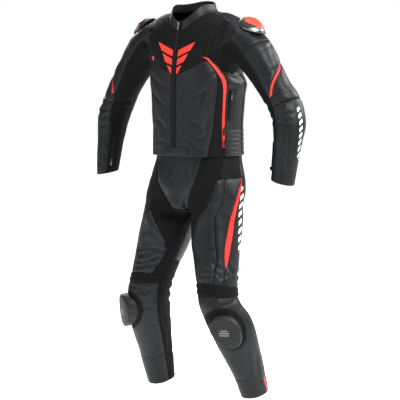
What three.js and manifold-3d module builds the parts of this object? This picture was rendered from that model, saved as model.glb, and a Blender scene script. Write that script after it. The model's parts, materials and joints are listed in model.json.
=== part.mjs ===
// A two-piece leather race suit for a motorcycle rider, filled out as it is worn, with nobody in it.
// Millimetres. +X is the wearer's left, -Y the front, +Z up. The origin is between the shoulders at
// the base of the neck, where the wearer carries the suit.  The skin is a net of four-cornered cells
// over the torso, the sleeves and the legs. Every cell belongs to one cut panel, and each panel
// becomes a wall of leather or stretch cloth, a seam's gap from its neighbours.
import * as THREE from "three";
import { mergeVertices } from "three/addons/utils/BufferGeometryUtils.js";
import Module from "manifold-3d";

const solids = await Module();
solids.setup();
const { Manifold, Mesh: SolidMesh } = solids;

const WALL = 2.0;
const SEAM_GAP = 0.3;
const REST_GAP = 0.6;

const LOOKS = {
  leather: { color: 0x26282b, roughness: 0.55, metalness: 0 },
  yoke: { color: 0x141517, roughness: 0.7, metalness: 0 },
  stretch: { color: 0x121213, roughness: 0.95, metalness: 0 },
  red: { color: 0xd9302a, roughness: 0.5, metalness: 0 },
  zip: { color: 0x0c0c0d, roughness: 0.6, metalness: 0 },
  metal: { color: 0x8a8c90, roughness: 0.3, metalness: 0.9 },
  plastic: { color: 0x17181a, roughness: 0.35, metalness: 0 },
  slider: { color: 0x232425, roughness: 0.5, metalness: 0 },
};

const suit = new THREE.Group();
suit.name = "motorcycle_race_suit";

const vec = (x, y, z) => new THREE.Vector3(x, y, z);
const radians = THREE.MathUtils.degToRad;
const SIDES = [
  { tag: "R", sign: -1 },
  { tag: "L", sign: 1 },
];

// Sleeve, right and left alike: rings from the armhole to the cuff. turn is how far the ring's outer
// side is above the horizontal, half its half width that way, deep its half depth from front to back.
const ARM_RINGS = [
  { k: 0, x: 163, y: 6, z: -94, turn: 86, half: 99, deep: 76 },
  { k: 1, x: 194, y: 6, z: -88, turn: 68, half: 90, deep: 75 },
  { k: 2, x: 224, y: 5, z: -98, turn: 52, half: 78, deep: 72 },
  { k: 3, x: 254, y: 4, z: -122, turn: 40, half: 71, deep: 68 },
  { k: 5, x: 302, y: 4, z: -182, turn: 33, half: 62, deep: 61 },
  { k: 7, x: 345, y: 6, z: -242, turn: 32, half: 57, deep: 57 },
  { k: 9, x: 384, y: 12, z: -300, turn: 25, half: 58, deep: 58 },
  { k: 11, x: 407, y: 8, z: -365, turn: 7, half: 57, deep: 58 },
  { k: 13, x: 409, y: -4, z: -428, turn: 1, half: 50, deep: 52 },
  { k: 15, x: 408, y: -18, z: -497, turn: -2, half: 45, deep: 46 },
  { k: 17, x: 406, y: -30, z: -569, turn: -15, half: 41, deep: 41 },
];
const ARM_ROWS = 17;
const ARM_COLUMNS = 12;

// Where the sleeve's seams are round the ring, counted in twelfths from the armpit over the front.
const ARM_SEAMS = [
  { k: 0, front: 3, stripeIn: 5, stripeOut: 6, back: 10 },
  { k: 1, front: 3.3, stripeIn: 5.6, stripeOut: 6.4, back: 10.1 },
  { k: 3, front: 3.0, stripeIn: 6.4, stripeOut: 7.0, back: 10.2 },
  { k: 5, front: 3.0, stripeIn: 6.6, stripeOut: 7.0, back: 10.3 },
  { k: 8, front: 2.6, stripeIn: 2.8, stripeOut: 3.2, back: 10.3 },
  { k: 10, front: 2.3, stripeIn: 4.2, stripeOut: 5, back: 10.3 },
  { k: 12, front: 1.9, stripeIn: 4.5, stripeOut: 5.5, back: 10.3 },
  { k: 17, front: 1.8, stripeIn: 4.6, stripeOut: 5.8, back: 10.3 },
];
const ARM_SEAM_COLUMNS = { front: 3, stripeIn: 5, stripeOut: 6, back: 10 };

// Torso: centre front, centre back and side of each row, from the jacket's hem to the neck and up the
// collar. lift raises the middle of a row, where the yoke's edge climbs from the zip to the chest
// stripe.
const FRONT_LINE = [
  { k: 0, y: -139, z: -488, lift: 0 },
  { k: 3, y: -138, z: -392, lift: 0 },
  { k: 6, y: -138, z: -292, lift: 8 },
  { k: 9, y: -134, z: -196, lift: 50 },
  { k: 10, y: -131, z: -169, lift: 46 },
  { k: 12, y: -122, z: -116, lift: 22 },
  { k: 15, y: -112, z: -58, lift: 0 },
  { k: 18, y: -104, z: -38, lift: 0 },
  { k: 20, y: -98, z: -6, lift: 0 },
];
const BACK_LINE = [
  { k: 0, y: 148, z: -488 },
  { k: 3, y: 146, z: -392 },
  { k: 6, y: 149, z: -290 },
  { k: 9, y: 148, z: -190 },
  { k: 12, y: 138, z: -100 },
  { k: 15, y: 104, z: -18 },
  { k: 18, y: 62, z: 36 },
  { k: 20, y: 57, z: 68 },
];
const SIDE_LINE = [
  { k: 0, x: 161, y: 12, z: -488 },
  { k: 3, x: 159, y: 12, z: -392 },
  { k: 6, x: 167, y: 11, z: -290 },
  { k: 8, x: 176, y: 8, z: -222 },
  { k: 9, x: 157, y: 6, z: -191 },
];
const SHOULDER_LINE = [
  { k: 15, x: 169, y: 6, z: 7 },
  { k: 16.5, x: 124, y: -2, z: 24 },
  { k: 18, x: 84, y: -12, z: 27 },
  { k: 20, x: 68, y: -12, z: 55 },
];
const TORSO_COLUMNS = 16;
const ARMHOLE_COLUMN = 8;
const COLLAR_TOP_ROW = 20;
const SHOULDER_ROW = 15;
const ARMPIT_ROW = 9;
const TORSO_ROUNDNESS = 0.8;

// Where the jacket's seams are: 0 is the centre front, 1 the side and 2 the centre back.
const TORSO_SEAMS = [
  { k: 0, leather: 0.52, stripeIn: 0.84, stripeOut: 0.86, side: 1.2 },
  { k: 1, leather: 0.56, stripeIn: 0.82, stripeOut: 0.85, side: 1.2 },
  { k: 3, leather: 0.63, stripeIn: 0.8, stripeOut: 0.84, side: 1.2 },
  { k: 7, leather: 0.66, stripeIn: 0.77, stripeOut: 0.825, side: 1.2 },
  { k: 8, leather: 0.64, stripeIn: 0.68, stripeOut: 0.785, side: 1.2 },
  { k: 9, leather: 0.51, stripeIn: 0.535, stripeOut: 0.69, side: 1.2 },
  { k: 10, leather: 0.42, stripeIn: 0.445, stripeOut: 0.61, side: 1.2 },
  { k: 12, leather: 0.46, stripeIn: 0.54, stripeOut: 0.66, side: 1.2 },
  { k: 15, leather: 0.5, stripeIn: 0.62, stripeOut: 0.78, side: 1.2 },
  { k: 20, leather: 0.6, stripeIn: 0.7, stripeOut: 0.85, side: 1.12 },
];
const TORSO_SEAM_COLUMNS = { leather: 5, stripeIn: 6, stripeOut: 7, armhole: 8, side: 9 };

// Trousers: the rise, from the waist through the crotch, and the side of each row above the crotch.
const RISE_FRONT = [
  { k: 0, y: -118, z: -470 },
  { k: 1, y: -120, z: -506 },
  { k: 3, y: -132, z: -572 },
  { k: 4, y: -135, z: -606 },
  { k: 5, y: -133, z: -644 },
  { k: 6, y: -114, z: -684 },
  { k: 7, y: 0, z: -706 },
];
const RISE_BACK = [
  { k: 0, y: 144.2, z: -470 },
  { k: 1, y: 144, z: -506 },
  { k: 3, y: 146, z: -572 },
  { k: 4, y: 146, z: -606 },
  { k: 5, y: 134, z: -650 },
  { k: 6, y: 88, z: -692 },
  { k: 7, y: 0, z: -706 },
];
const HIP_LINE = [
  { k: 0, x: 154, y: 8, z: -470, closed: 0 },
  { k: 1, x: 157, y: 8, z: -504, closed: 0 },
  { k: 3, x: 174, y: 4, z: -568, closed: 0.02 },
  { k: 4, x: 181, y: 1, z: -600, closed: 0.12 },
  { k: 5, x: 189, y: -3, z: -633, closed: 0.35 },
  { k: 6, x: 192, y: -7, z: -667, closed: 0.7 },
  { k: 7, x: 194, y: -10, z: -700, closed: 1 },
];
const HIP_ROUNDNESS = 0.82;
const SEAM_REACH = 0.25; // nearer the centre seams than this share, the hips close to the legs less

// Legs: rings from the crotch to the hem. wide is the half width, deep the half depth, lean how far
// the ring's front is below its back.
const LEG_RINGS = {
  L: [
    { k: 7, x: 96, y: -10, z: -702, wide: 91, deep: 108, lean: -8 },
    { k: 9, x: 104, y: -20, z: -760, wide: 89, deep: 98, lean: -12 },
    { k: 11, x: 116, y: -38, z: -822, wide: 83, deep: 92, lean: -16 },
    { k: 13, x: 132, y: -56, z: -884, wide: 77, deep: 84, lean: -16 },
    { k: 15, x: 149, y: -72, z: -946, wide: 72, deep: 77, lean: -12 },
    { k: 16, x: 156, y: -77, z: -986, wide: 71, deep: 77, lean: -6 },
    { k: 17, x: 165, y: -76, z: -1014, wide: 72, deep: 80, lean: 0 },
    { k: 19, x: 182, y: -50, z: -1072, wide: 76, deep: 84, lean: 14 },
    { k: 21, x: 194, y: -20, z: -1138, wide: 72, deep: 78, lean: 22 },
    { k: 23, x: 203, y: 9, z: -1204, wide: 62, deep: 66, lean: 24 },
    { k: 25, x: 212, y: 39, z: -1276, wide: 53, deep: 56, lean: 22 },
    { k: 27, x: 218, y: 62, z: -1348, wide: 48, deep: 50, lean: 16 },
  ],
  R: [
    { k: 7, x: 101, y: -18, z: -702, wide: 101, deep: 113, lean: -8 },
    { k: 9, x: 112, y: -32, z: -758, wide: 94, deep: 105, lean: -14 },
    { k: 11, x: 125, y: -43, z: -816, wide: 87, deep: 96, lean: -20 },
    { k: 13, x: 140, y: -56, z: -874, wide: 80, deep: 86, lean: -20 },
    { k: 15, x: 154, y: -68, z: -932, wide: 76, deep: 80, lean: -14 },
    { k: 17, x: 168, y: -74, z: -992, wide: 76, deep: 82, lean: 2 },
    { k: 19, x: 181, y: -62, z: -1054, wide: 76, deep: 84, lean: 18 },
    { k: 21, x: 190, y: -34, z: -1122, wide: 69, deep: 74, lean: 24 },
    { k: 23, x: 200, y: -2, z: -1192, wide: 62, deep: 64, lean: 24 },
    { k: 25, x: 209, y: 28, z: -1268, wide: 56, deep: 58, lean: 22 },
    { k: 27, x: 216, y: 56, z: -1344, wide: 49, deep: 51, lean: 16 },
  ],
};
const CROTCH_ROW = 7;
const LEG_ROWS = 27;
const LEG_COLUMNS = 16;

// Where the trousers' seams are, in sixteenths from the inseam, or above the crotch from the centre
// front, over the outer side to the inseam or the centre back again.
const LEG_SEAMS = [
  { k: 0, fly: 3.5, stretch: 6.0, seam: 7.0, stripeIn: 9.2, stripeOut: 9.5, back: 12 },
  { k: 3, fly: 2.3, stretch: 5.2, seam: 6.3, stripeIn: 8.8, stripeOut: 9.1, back: 11.9 },
  { k: 5, fly: 1.3, stretch: 4.7, seam: 6.0, stripeIn: 8.0, stripeOut: 8.45, back: 11.7 },
  { k: 6, fly: 0.9, stretch: 4.5, seam: 5.9, stripeIn: 7.65, stripeOut: 8.15, back: 11.6 },
  { k: 7, fly: 0.9, stretch: 4.2, seam: 5.8, stripeIn: 7.35, stripeOut: 7.9, back: 11.5 },
  { k: 9, fly: 0.9, stretch: 3.1, seam: 5.7, stripeIn: 7.0, stripeOut: 7.65, back: 11.4 },
  { k: 11, fly: 0.7, stretch: 1.8, seam: 5.9, stripeIn: 6.8, stripeOut: 7.5, back: 11.4 },
  { k: 12, fly: 0.7, stretch: 1.4, seam: 6.0, stripeIn: 6.8, stripeOut: 7.35, back: 11.4 },
  { k: 13, fly: 0.8, stretch: 1.5, seam: 5.8, stripeIn: 6.9, stripeOut: 7.1, back: 11.3 },
  { k: 16, fly: 1, stretch: 2.4, seam: 5, stripeIn: 6.5, stripeOut: 8, back: 11 },
  { k: 27, fly: 0.6, stretch: 2.2, seam: 5, stripeIn: 6.5, stripeOut: 8, back: 11 },
];
const LEG_SEAM_COLUMNS = { fly: 2, stretch: 3, seam: 5, stripeIn: 6, stripeOut: 7, back: 10 };

// A smooth curve through one column of a table, at row number k.
function along(rows, column, k) {
  const last = rows.length - 1;
  if (k <= rows[0].k) return rows[0][column];
  if (k >= rows[last].k) return rows[last][column];
  let i = 0;
  while (rows[i + 1].k < k) i += 1;
  const slope = (m) => {
    const before = rows[Math.max(m - 1, 0)];
    const after = rows[Math.min(m + 1, last)];
    return (after[column] - before[column]) / (after.k - before.k);
  };
  const step = rows[i + 1].k - rows[i].k;
  const t = (k - rows[i].k) / step;
  return (
    (2 * t ** 3 - 3 * t ** 2 + 1) * rows[i][column] +
    (t ** 3 - 2 * t ** 2 + t) * step * slope(i) +
    (3 * t ** 2 - 2 * t ** 3) * rows[i + 1][column] +
    (t ** 3 - t ** 2) * step * slope(i + 1)
  );
}

function pointAlong(rows, k) {
  const x = rows[0].x === undefined ? 0 : along(rows, "x", k);
  return vec(x, along(rows, "y", k), along(rows, "z", k));
}

// The place of a column between the seams that a table fixes.
function columnPlace(seams, fixed, columns, end, k, column) {
  let before = { column: 0, place: 0 };
  for (const name of Object.keys(fixed)) {
    const after = { column: fixed[name], place: name === "armhole" ? 1 : along(seams, name, k) };
    if (column <= after.column) return between(before, after, column);
    before = after;
  }
  return between(before, { column: columns, place: end }, column);
}

function between(before, after, column) {
  const share = (column - before.column) / (after.column - before.column);
  return before.place + (after.place - before.place) * share;
}

function armSurface(sign, k, place) {
  const angle = (2 * Math.PI * place) / ARM_COLUMNS;
  const turn = radians(along(ARM_RINGS, "turn", k));
  const half = -along(ARM_RINGS, "half", k) * Math.cos(angle);
  const point = pointAlong(ARM_RINGS, k);
  point.x += half * Math.cos(turn);
  point.z += half * Math.sin(turn);
  point.y -= along(ARM_RINGS, "deep", k) * Math.sin(angle);
  point.x *= sign;
  return point;
}

function torsoSurface(sign, k, place, front) {
  const start = pointAlong(front ? FRONT_LINE : BACK_LINE, k);
  let end;
  if (k < ARMPIT_ROW) end = pointAlong(SIDE_LINE, k);
  else if (k > SHOULDER_ROW) end = pointAlong(SHOULDER_LINE, k);
  else end = armSurface(1, 0, front ? k - ARMPIT_ROW : ARM_COLUMNS - (k - ARMPIT_ROW));
  const angle = ((front ? place : 2 - place) * Math.PI) / 2;
  const across = Math.sin(angle) ** TORSO_ROUNDNESS;
  const ahead = Math.cos(angle) ** TORSO_ROUNDNESS;
  const lift = front ? along(FRONT_LINE, "lift", k) * (1 - Math.abs(2 * place - 1)) : 0;
  return vec(
    sign * end.x * across,
    end.y + (start.y - end.y) * ahead,
    start.z + (end.z - start.z) * across ** 2 + lift,
  );
}

function legRing(tag, k, place) {
  const rings = LEG_RINGS[tag];
  const angle = (2 * Math.PI * place) / LEG_COLUMNS;
  const point = pointAlong(rings, k);
  point.x -= along(rings, "wide", k) * Math.cos(angle);
  point.y -= along(rings, "deep", k) * Math.sin(angle);
  point.z -= along(rings, "lean", k) * Math.sin(angle);
  return point;
}

function legSurface(side, k, place) {
  if (k >= CROTCH_ROW) {
    const ring = legRing(side.tag, k, place);
    if (k === CROTCH_ROW && place % LEG_COLUMNS === 0) ring.copy(pointAlong(RISE_FRONT, k));
    ring.x *= side.sign;
    return ring;
  }
  const share = (2 * place) / LEG_COLUMNS;
  const front = share <= 1;
  const start = pointAlong(front ? RISE_FRONT : RISE_BACK, k);
  const end = pointAlong(HIP_LINE, k);
  const angle = ((front ? share : 2 - share) * Math.PI) / 2;
  const across = Math.sin(angle) ** HIP_ROUNDNESS;
  const ahead = Math.cos(angle) ** HIP_ROUNDNESS;
  const open = vec(end.x * across, end.y + (start.y - end.y) * ahead, start.z + (end.z - start.z) * across);
  const ring = legRing(side.tag, CROTCH_ROW, place);
  ring.z = open.z;
  const nearSeam = Math.min(1, Math.min(share, 2 - share) / SEAM_REACH);
  open.lerp(ring, along(HIP_LINE, "closed", k) * nearSeam);
  open.x *= side.sign;
  return open;
}

// The net: merged points and the cells between them. A cell's corners run round it, seen from outside,
// with 0 to 1 and 3 to 2 across the columns and 0 to 3 and 1 to 2 along the rows.
class Net {
  constructor() {
    this.points = [];
    this.known = new Map();
    this.normals = new Map();
    this.cells = [];
  }

  // Points with a tag stay apart from others at their place, and share only the way out.
  add(point, tag = "") {
    const place = point.toArray().map((v) => Math.round(v * 100)).join("_");
    if (!this.normals.has(place)) this.normals.set(place, vec(0, 0, 0));
    if (!this.known.has(tag + place)) {
      this.known.set(tag + place, this.points.length);
      this.points.push({ at: point, normal: this.normals.get(place) });
    }
    return this.known.get(tag + place);
  }

  lay(side, down, rows, columns, pointAt, panelAt, tagAt = () => "") {
    const flip = down === side.sign > 0;
    for (let row = rows.from; row < rows.to; row += 1) {
      for (let column = columns[0]; column < columns[1]; column += 1) {
        const panel = panelAt(row + 0.5, column + 0.5);
        if (!panel) continue;
        const corner = (k, c) => this.add(pointAt(k, c), tagAt(k, c, panel));
        const low = [corner(row, column), corner(row, column + 1)];
        const high = [corner(row + 1, column), corner(row + 1, column + 1)];
        const corners = flip ? [low[1], low[0], high[0], high[1]] : [low[0], low[1], high[1], high[0]];
        this.cells.push({ panel, row, corners });
      }
    }
  }

  finish() {
    for (const cell of this.cells) {
      const [a, b, c, d] = cell.corners.map((i) => this.points[i].at);
      const normal = c.clone().sub(a).cross(d.clone().sub(b));
      for (const i of cell.corners) this.points[i].normal.add(normal);
    }
    for (const normal of this.normals.values()) normal.normalize();
  }
}

const panelFinder = (table, tag) => (row, column) => {
  for (const area of table) {
    const [top, bottom] = area.rows;
    const [first, last] = area.columns;
    if (row > top && row < bottom && column > first && column < last) {
      return area.whole ? area.panel : `${area.panel}_${tag}`;
    }
  }
  return null;
};

const TORSO_PANELS = [
  { panel: "collar", rows: [18, 20], columns: [0, 16], whole: true },
  { panel: "shoulder", rows: [14, 17], columns: [7, 9] },
  { panel: "yoke_front", rows: [10, 18], columns: [0, 7] },
  { panel: "yoke_front", rows: [9, 10], columns: [0, 6] },
  { panel: "yoke_front", rows: [17, 18], columns: [7, 8] },
  { panel: "chest_stripe", rows: [1, 10], columns: [6, 7] },
  { panel: "side_front", rows: [0, 9], columns: [5, 6] },
  { panel: "side_front", rows: [0, 1], columns: [6, 7] },
  { panel: "front", rows: [0, 9], columns: [0, 5] },
  { panel: "sleeve_inner", rows: [10, 14], columns: [7, 8] },
  { panel: "side", rows: [0, 14], columns: [7, 9] },
  { panel: "back_yoke", rows: [14, 18], columns: [8, 16], whole: true },
  { panel: "back", rows: [0, 14], columns: [9, 16], whole: true },
];
const SLEEVE_PANELS = [
  { panel: "shoulder", rows: [0, 3], columns: [3, 9] },
  { panel: "sleeve_stripe", rows: [5, 8], columns: [5, 6] },
  { panel: "sleeve_outer", rows: [0, 9], columns: [3, 10] },
  { panel: "forearm", rows: [9, 17], columns: [3, 10] },
  { panel: "sleeve_inner", rows: [0, 17], columns: [0, 12] },
];
const LEG_PANELS = [
  { panel: "fly", rows: [0, 6], columns: [0, 2], whole: true },
  { panel: "seat", rows: [0, 13], columns: [10, 16], whole: true },
  { panel: "front_stretch", rows: [0, 3], columns: [2, 6] },
  { panel: "front_stretch", rows: [3, 13], columns: [0, 3] },
  { panel: "thigh_stripe", rows: [3, 13], columns: [6, 7] },
  { panel: "thigh_front", rows: [3, 15], columns: [3, 5] },
  { panel: "thigh_wedge", rows: [3, 15], columns: [5, 6] },
  { panel: "thigh_side", rows: [0, 15], columns: [6, 10] },
  { panel: "knee_band", rows: [15, 16], columns: [2, 10] },
  { panel: "knee", rows: [16, 27], columns: [2, 10] },
  { panel: "calf", rows: [13, 27], columns: [0, 16] },
];

const jacket = new Net();
const trousers = new Net();
for (const side of SIDES) {
  const torsoPlace = (k, c) => columnPlace(TORSO_SEAMS, TORSO_SEAM_COLUMNS, TORSO_COLUMNS, 2, k, c);
  const frontPoint = (k, c) => torsoSurface(side.sign, k, torsoPlace(k, c), true);
  const backPoint = (k, c) => torsoSurface(side.sign, k, torsoPlace(k, c), false);
  const armPoint = (k, c) =>
    armSurface(side.sign, k, columnPlace(ARM_SEAMS, ARM_SEAM_COLUMNS, ARM_COLUMNS, ARM_COLUMNS, k, c));
  const legPoint = (k, c) =>
    legSurface(side, k, columnPlace(LEG_SEAMS, LEG_SEAM_COLUMNS, LEG_COLUMNS, LEG_COLUMNS, k, c));
  const collarFront = (k, c, panel) => (panel === "collar" && c === 0 ? side.tag : "");
  const torsoRows = { from: 0, to: COLLAR_TOP_ROW };
  const torsoPanel = panelFinder(TORSO_PANELS, side.tag);
  jacket.lay(side, false, torsoRows, [0, ARMHOLE_COLUMN], frontPoint, torsoPanel, collarFront);
  jacket.lay(side, false, torsoRows, [ARMHOLE_COLUMN, TORSO_COLUMNS], backPoint, torsoPanel);
  const armRows = { from: 0, to: ARM_ROWS };
  jacket.lay(side, true, armRows, [0, ARM_COLUMNS], armPoint, panelFinder(SLEEVE_PANELS, side.tag));
  const legRows = { from: 0, to: LEG_ROWS };
  trousers.lay(side, true, legRows, [0, LEG_COLUMNS], legPoint, panelFinder(LEG_PANELS, side.tag));
}
jacket.finish();
trousers.finish();

// Gathered areas: rows of a panel whose cells are cut into strips, every second one raised.
const GATHERS = {
  side: { from: 0, to: 3, strips: 4, height: 2 },
  back: { from: 0, to: 3, strips: 4, height: 2 },
  knee_band: { from: 15, to: 16, strips: 4, height: 2.5 },
};

// A panel's own points and cells, with its gathered rows cut into strips.
function panelCells(net, name) {
  const gather = GATHERS[name.replace(/_[RL]$/, "")];
  const points = [];
  const known = new Map();
  const place = (a, b, step, steps) => {
    const end = step === 0 ? a : b;
    const key = step % steps === 0 ? `${end}` : `${a}_${b}_${step}`;
    if (!known.has(key)) {
      known.set(key, points.length);
      const from = net.points[a];
      const to = net.points[b];
      const share = step / steps;
      points.push({
        at: from.at.clone().lerp(to.at, share),
        normal: from.normal.clone().lerp(to.normal, share).normalize(),
        raise: step % 2 && steps > 1 ? gather.height : 0,
        rank: a + (b - a) * share,
      });
    }
    return known.get(key);
  };
  const cells = [];
  for (const cell of net.cells.filter((one) => one.panel === name)) {
    const [a, b, c, d] = cell.corners;
    const gathered = gather && cell.row >= gather.from && cell.row < gather.to;
    const steps = gathered ? gather.strips : 1;
    for (let step = 0; step < steps; step += 1) {
      cells.push([
        place(a, d, step, steps),
        place(b, c, step, steps),
        place(b, c, step + 1, steps),
        place(a, d, step + 1, steps),
      ]);
    }
  }
  return { points, cells: cells.map((cell) => turned(cell, points)) };
}

// The same cell, turned so that its corners 0 and 2 are the nearer pair; it is cut in two between them.
function turned([a, b, c, d], points) {
  const across = points[a].at.distanceTo(points[c].at);
  return across <= points[b].at.distanceTo(points[d].at) ? [a, b, c, d] : [b, c, d, a];
}

// The edges that only one cell of the panel has, each as from-to with the panel on its left.
function boundary(cells) {
  const edges = new Map();
  for (const cell of cells) {
    cell.forEach((from, i) => {
      const to = cell[(i + 1) % cell.length];
      if (edges.has(`${to}_${from}`)) edges.delete(`${to}_${from}`);
      else if (from !== to) edges.set(`${from}_${to}`, [from, to]);
    });
  }
  return [...edges.values()];
}

function shapeOf(positions, triangles) {
  const geometry = new THREE.BufferGeometry();
  const numbers = positions.flatMap((position) => position.toArray());
  geometry.setAttribute("position", new THREE.Float32BufferAttribute(numbers, 3));
  geometry.setIndex(triangles.flat());
  return geometry;
}

function addSolid(name, look, geometry) {
  geometry.computeVertexNormals();
  const mesh = new THREE.Mesh(geometry, new THREE.MeshStandardMaterial(LOOKS[look]));
  mesh.name = name;
  suit.add(mesh);
}

function solidOf(geometry) {
  const bare = geometry.clone();
  for (const name of Object.keys(bare.attributes)) if (name !== "position") bare.deleteAttribute(name);
  const merged = mergeVertices(bare, 1e-3);
  return new Manifold(
    new SolidMesh({
      numProp: 3,
      vertProperties: new Float32Array(merged.attributes.position.array),
      triVerts: new Uint32Array(merged.index.array),
    }),
  );
}

function fused(first, second) {
  const mesh = solidOf(first).add(solidOf(second)).getMesh();
  const geometry = new THREE.BufferGeometry();
  geometry.setAttribute("position", new THREE.BufferAttribute(new Float32Array(mesh.vertProperties), 3));
  geometry.setIndex(new THREE.BufferAttribute(new Uint32Array(mesh.triVerts), 1));
  return geometry;
}

// A wall from outer and inner points and the cells between them. Two panels cut the rims of the seam
// that they share from the same corner, which rank decides.
function wallTriangles(cells, edges, count, rank = (i) => i) {
  const triangles = [];
  const face = (a, b, c) => {
    if (a !== b && b !== c && c !== a) triangles.push([a, b, c]);
  };
  for (const [a, b, c, d] of cells) {
    face(a, b, c);
    face(a, c, d);
    face(count + c, count + b, count + a);
    face(count + d, count + c, count + a);
  }
  for (const [from, to] of edges) {
    if (rank(from) < rank(to)) {
      face(to, from, count + from);
      face(to, count + from, count + to);
    } else {
      face(to, from, count + to);
      face(from, count + from, count + to);
    }
  }
  return triangles;
}

function makePanel(net, name, look) {
  const { points, cells } = panelCells(net, name);
  const edges = boundary(cells);
  const inward = points.map(() => []);
  for (const [from, to] of edges) {
    const direction = points[to].at.clone().sub(points[from].at);
    for (const end of [from, to]) {
      inward[end].push(points[end].normal.clone().cross(direction).normalize());
    }
  }
  const outer = points.map((point, i) => {
    const at = point.at.clone();
    if (inward[i].length) {
      const sum = inward[i].reduce((total, one) => total.add(one), vec(0, 0, 0));
      const share = Math.max(sum.lengthSq() / inward[i].length, 0.5);
      at.addScaledVector(sum, SEAM_GAP / 2 / share);
    }
    return at;
  });
  const inner = outer.map((at, i) => at.clone().addScaledVector(points[i].normal, -WALL));
  outer.forEach((at, i) => at.addScaledVector(points[i].normal, points[i].raise));
  const triangles = wallTriangles(cells, edges, points.length, (i) => points[i].rank);
  addSolid(name, look, shapeOf([...outer, ...inner], triangles));
}

const PANEL_LOOKS = {
  yoke_front: "yoke",
  side_front: "stretch",
  chest_stripe: "red",
  sleeve_stripe: "red",
  sleeve_inner: "stretch",
  front_stretch: "stretch",
  thigh_stripe: "red",
  knee_band: "stretch",
  calf: "stretch",
};
for (const net of [jacket, trousers]) {
  for (const name of new Set(net.cells.map((cell) => cell.panel))) {
    makePanel(net, name, PANEL_LOOKS[name.replace(/_[RL]$/, "")] ?? "leather");
  }
}

// What lies on the panels. Each piece is made from points of the surface under it: low and high are the
// distances of its two faces from that surface.
function laidOn(points, cells) {
  const shift = (point, by) => point.at.clone().addScaledVector(point.normal, by);
  const top = points.map((point) => shift({ at: point.at, normal: point.up ?? point.normal }, point.high));
  const under = points.map((point) => shift(point, point.low));
  return shapeOf([...top, ...under], wallTriangles(cells, boundary(cells), points.length));
}

const layOn = (name, look, points, cells) => addSolid(name, look, laidOn(points, cells));

const mirrored = (point, sign) => vec(point.x * sign, point.y, point.z);

// A strip along a line of a net: at each station the directions to its two edges and the way out.
function station(at, before, after, ahead, behind) {
  const left = before.clone().sub(at).normalize();
  const right = after.clone().sub(at).normalize();
  const normal = right.clone().sub(left).cross(ahead.clone().sub(behind)).normalize();
  return { at, left, right, normal };
}

function strip(stations, size) {
  const points = [];
  for (const { at, left, right, normal } of stations) {
    const edges = [
      [left, size.half, 0],
      [left, 0, size.ridge],
      [right, size.half, 0],
    ];
    for (const [way, reach, rise] of edges) {
      const high = size.low + size.thick + rise;
      points.push({ at: at.clone().addScaledVector(way, reach), normal, low: size.low, high });
    }
  }
  const cells = [];
  for (let i = 0; i + 1 < stations.length; i += 1) {
    for (let j = 0; j < 2; j += 1) cells.push([3 * i + j, 3 * i + j + 1, 3 * i + j + 4, 3 * i + j + 3]);
  }
  return laidOn(points, cells);
}

const PATCH_STEP = 0.02; // rows or columns to either side, for finding the way out

// A round patch: rings of points about a centre of the surface.
function roundPatch(centre, reach, rings, spokes, surfaceAt, outlineAt) {
  const points = [];
  const spot = (row, column) => {
    const step = PATCH_STEP;
    const at = surfaceAt(row, column);
    const down = surfaceAt(row + step, column).sub(surfaceAt(row - step, column));
    const over = surfaceAt(row, column + step).sub(surfaceAt(row, column - step));
    return { at, normal: down.cross(over).normalize() };
  };
  rings.forEach((ring, i) => {
    for (let spoke = 0; spoke < (i ? spokes : 1); spoke += 1) {
      const angle = (2 * Math.PI * spoke) / spokes;
      const radius = ring * outlineAt(angle, ring);
      const row = centre.row + reach.row * radius * Math.sin(angle);
      const column = centre.column + reach.column * radius * Math.cos(angle);
      points.push({ ...spot(row, column), ring: i });
    }
  });
  const cells = [];
  for (let ring = 0; ring + 1 < rings.length; ring += 1) {
    for (let spoke = 0; spoke < spokes; spoke += 1) {
      const next = (spoke + 1) % spokes;
      const inner = (s) => (ring ? 1 + (ring - 1) * spokes + s : 0);
      const outer = (s) => 1 + ring * spokes + s;
      cells.push([inner(spoke), inner(next), outer(next), outer(spoke)]);
    }
  }
  return { points, cells };
}

// The patch of the left side is mirrored for the right one, so its cells are turned round.
function forSide(patch, side) {
  const points = patch.points.map((point) => ({
    ...point,
    at: mirrored(point.at, side.sign),
    normal: mirrored(point.normal, side.sign),
  }));
  const cells = side.sign > 0 ? patch.cells : patch.cells.map(([a, b, c, d]) => [d, c, b, a]);
  return { points, cells };
}

const SPOKES = 16;

// Shoulder cup: a moulded dome on the sleeve head, with a coloured plate on its crown.
const CUP = { row: 1.5, column: 6.1, reach: { row: 0.95, column: 1.45 }, low: 2.2 };
const CUP_RINGS = [
  { at: 0, high: 15 },
  { at: 0.35, high: 14.5 },
  { at: 0.62, high: 12.5 },
  { at: 0.76, high: 9.5 },
  { at: 0.93, high: 6.2 },
  { at: 1, high: 4 },
];
const PLATE_RINGS = 3;
const PLATE = { gap: 0.5, thick: 2.2, edge: 0.6 };
const CUP_CORNERS = { count: 3, turn: 0.5, plate: 0.16, rim: 0.04 };
function cupOutline(angle, ring) {
  const swell = ring < CUP_RINGS[PLATE_RINGS].at ? CUP_CORNERS.plate : CUP_CORNERS.rim;
  return 1 + swell * Math.cos(CUP_CORNERS.count * (angle + CUP_CORNERS.turn));
}

// Knee slider: a thick puck on the front of the knee, turned towards the outer side.
const PUCK = { reach: { row: 1.65, column: 1.95 }, low: 1.0, thick: 22, bow: 0.62, edge: 6 };
const PUCK_CENTRES = { L: { row: 19.4, column: 5.3 }, R: { row: 18.8, column: 5.3 } };
const PUCK_RINGS = [0, 0.4, 0.75, 0.93, 1];
const PUCK_CORNERS = { count: 3, turn: -1.2, swell: 0.07 };
function puckOutline(angle) {
  const { count, turn, swell } = PUCK_CORNERS;
  return 1 + swell * Math.cos(count * (angle + turn));
}

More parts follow.
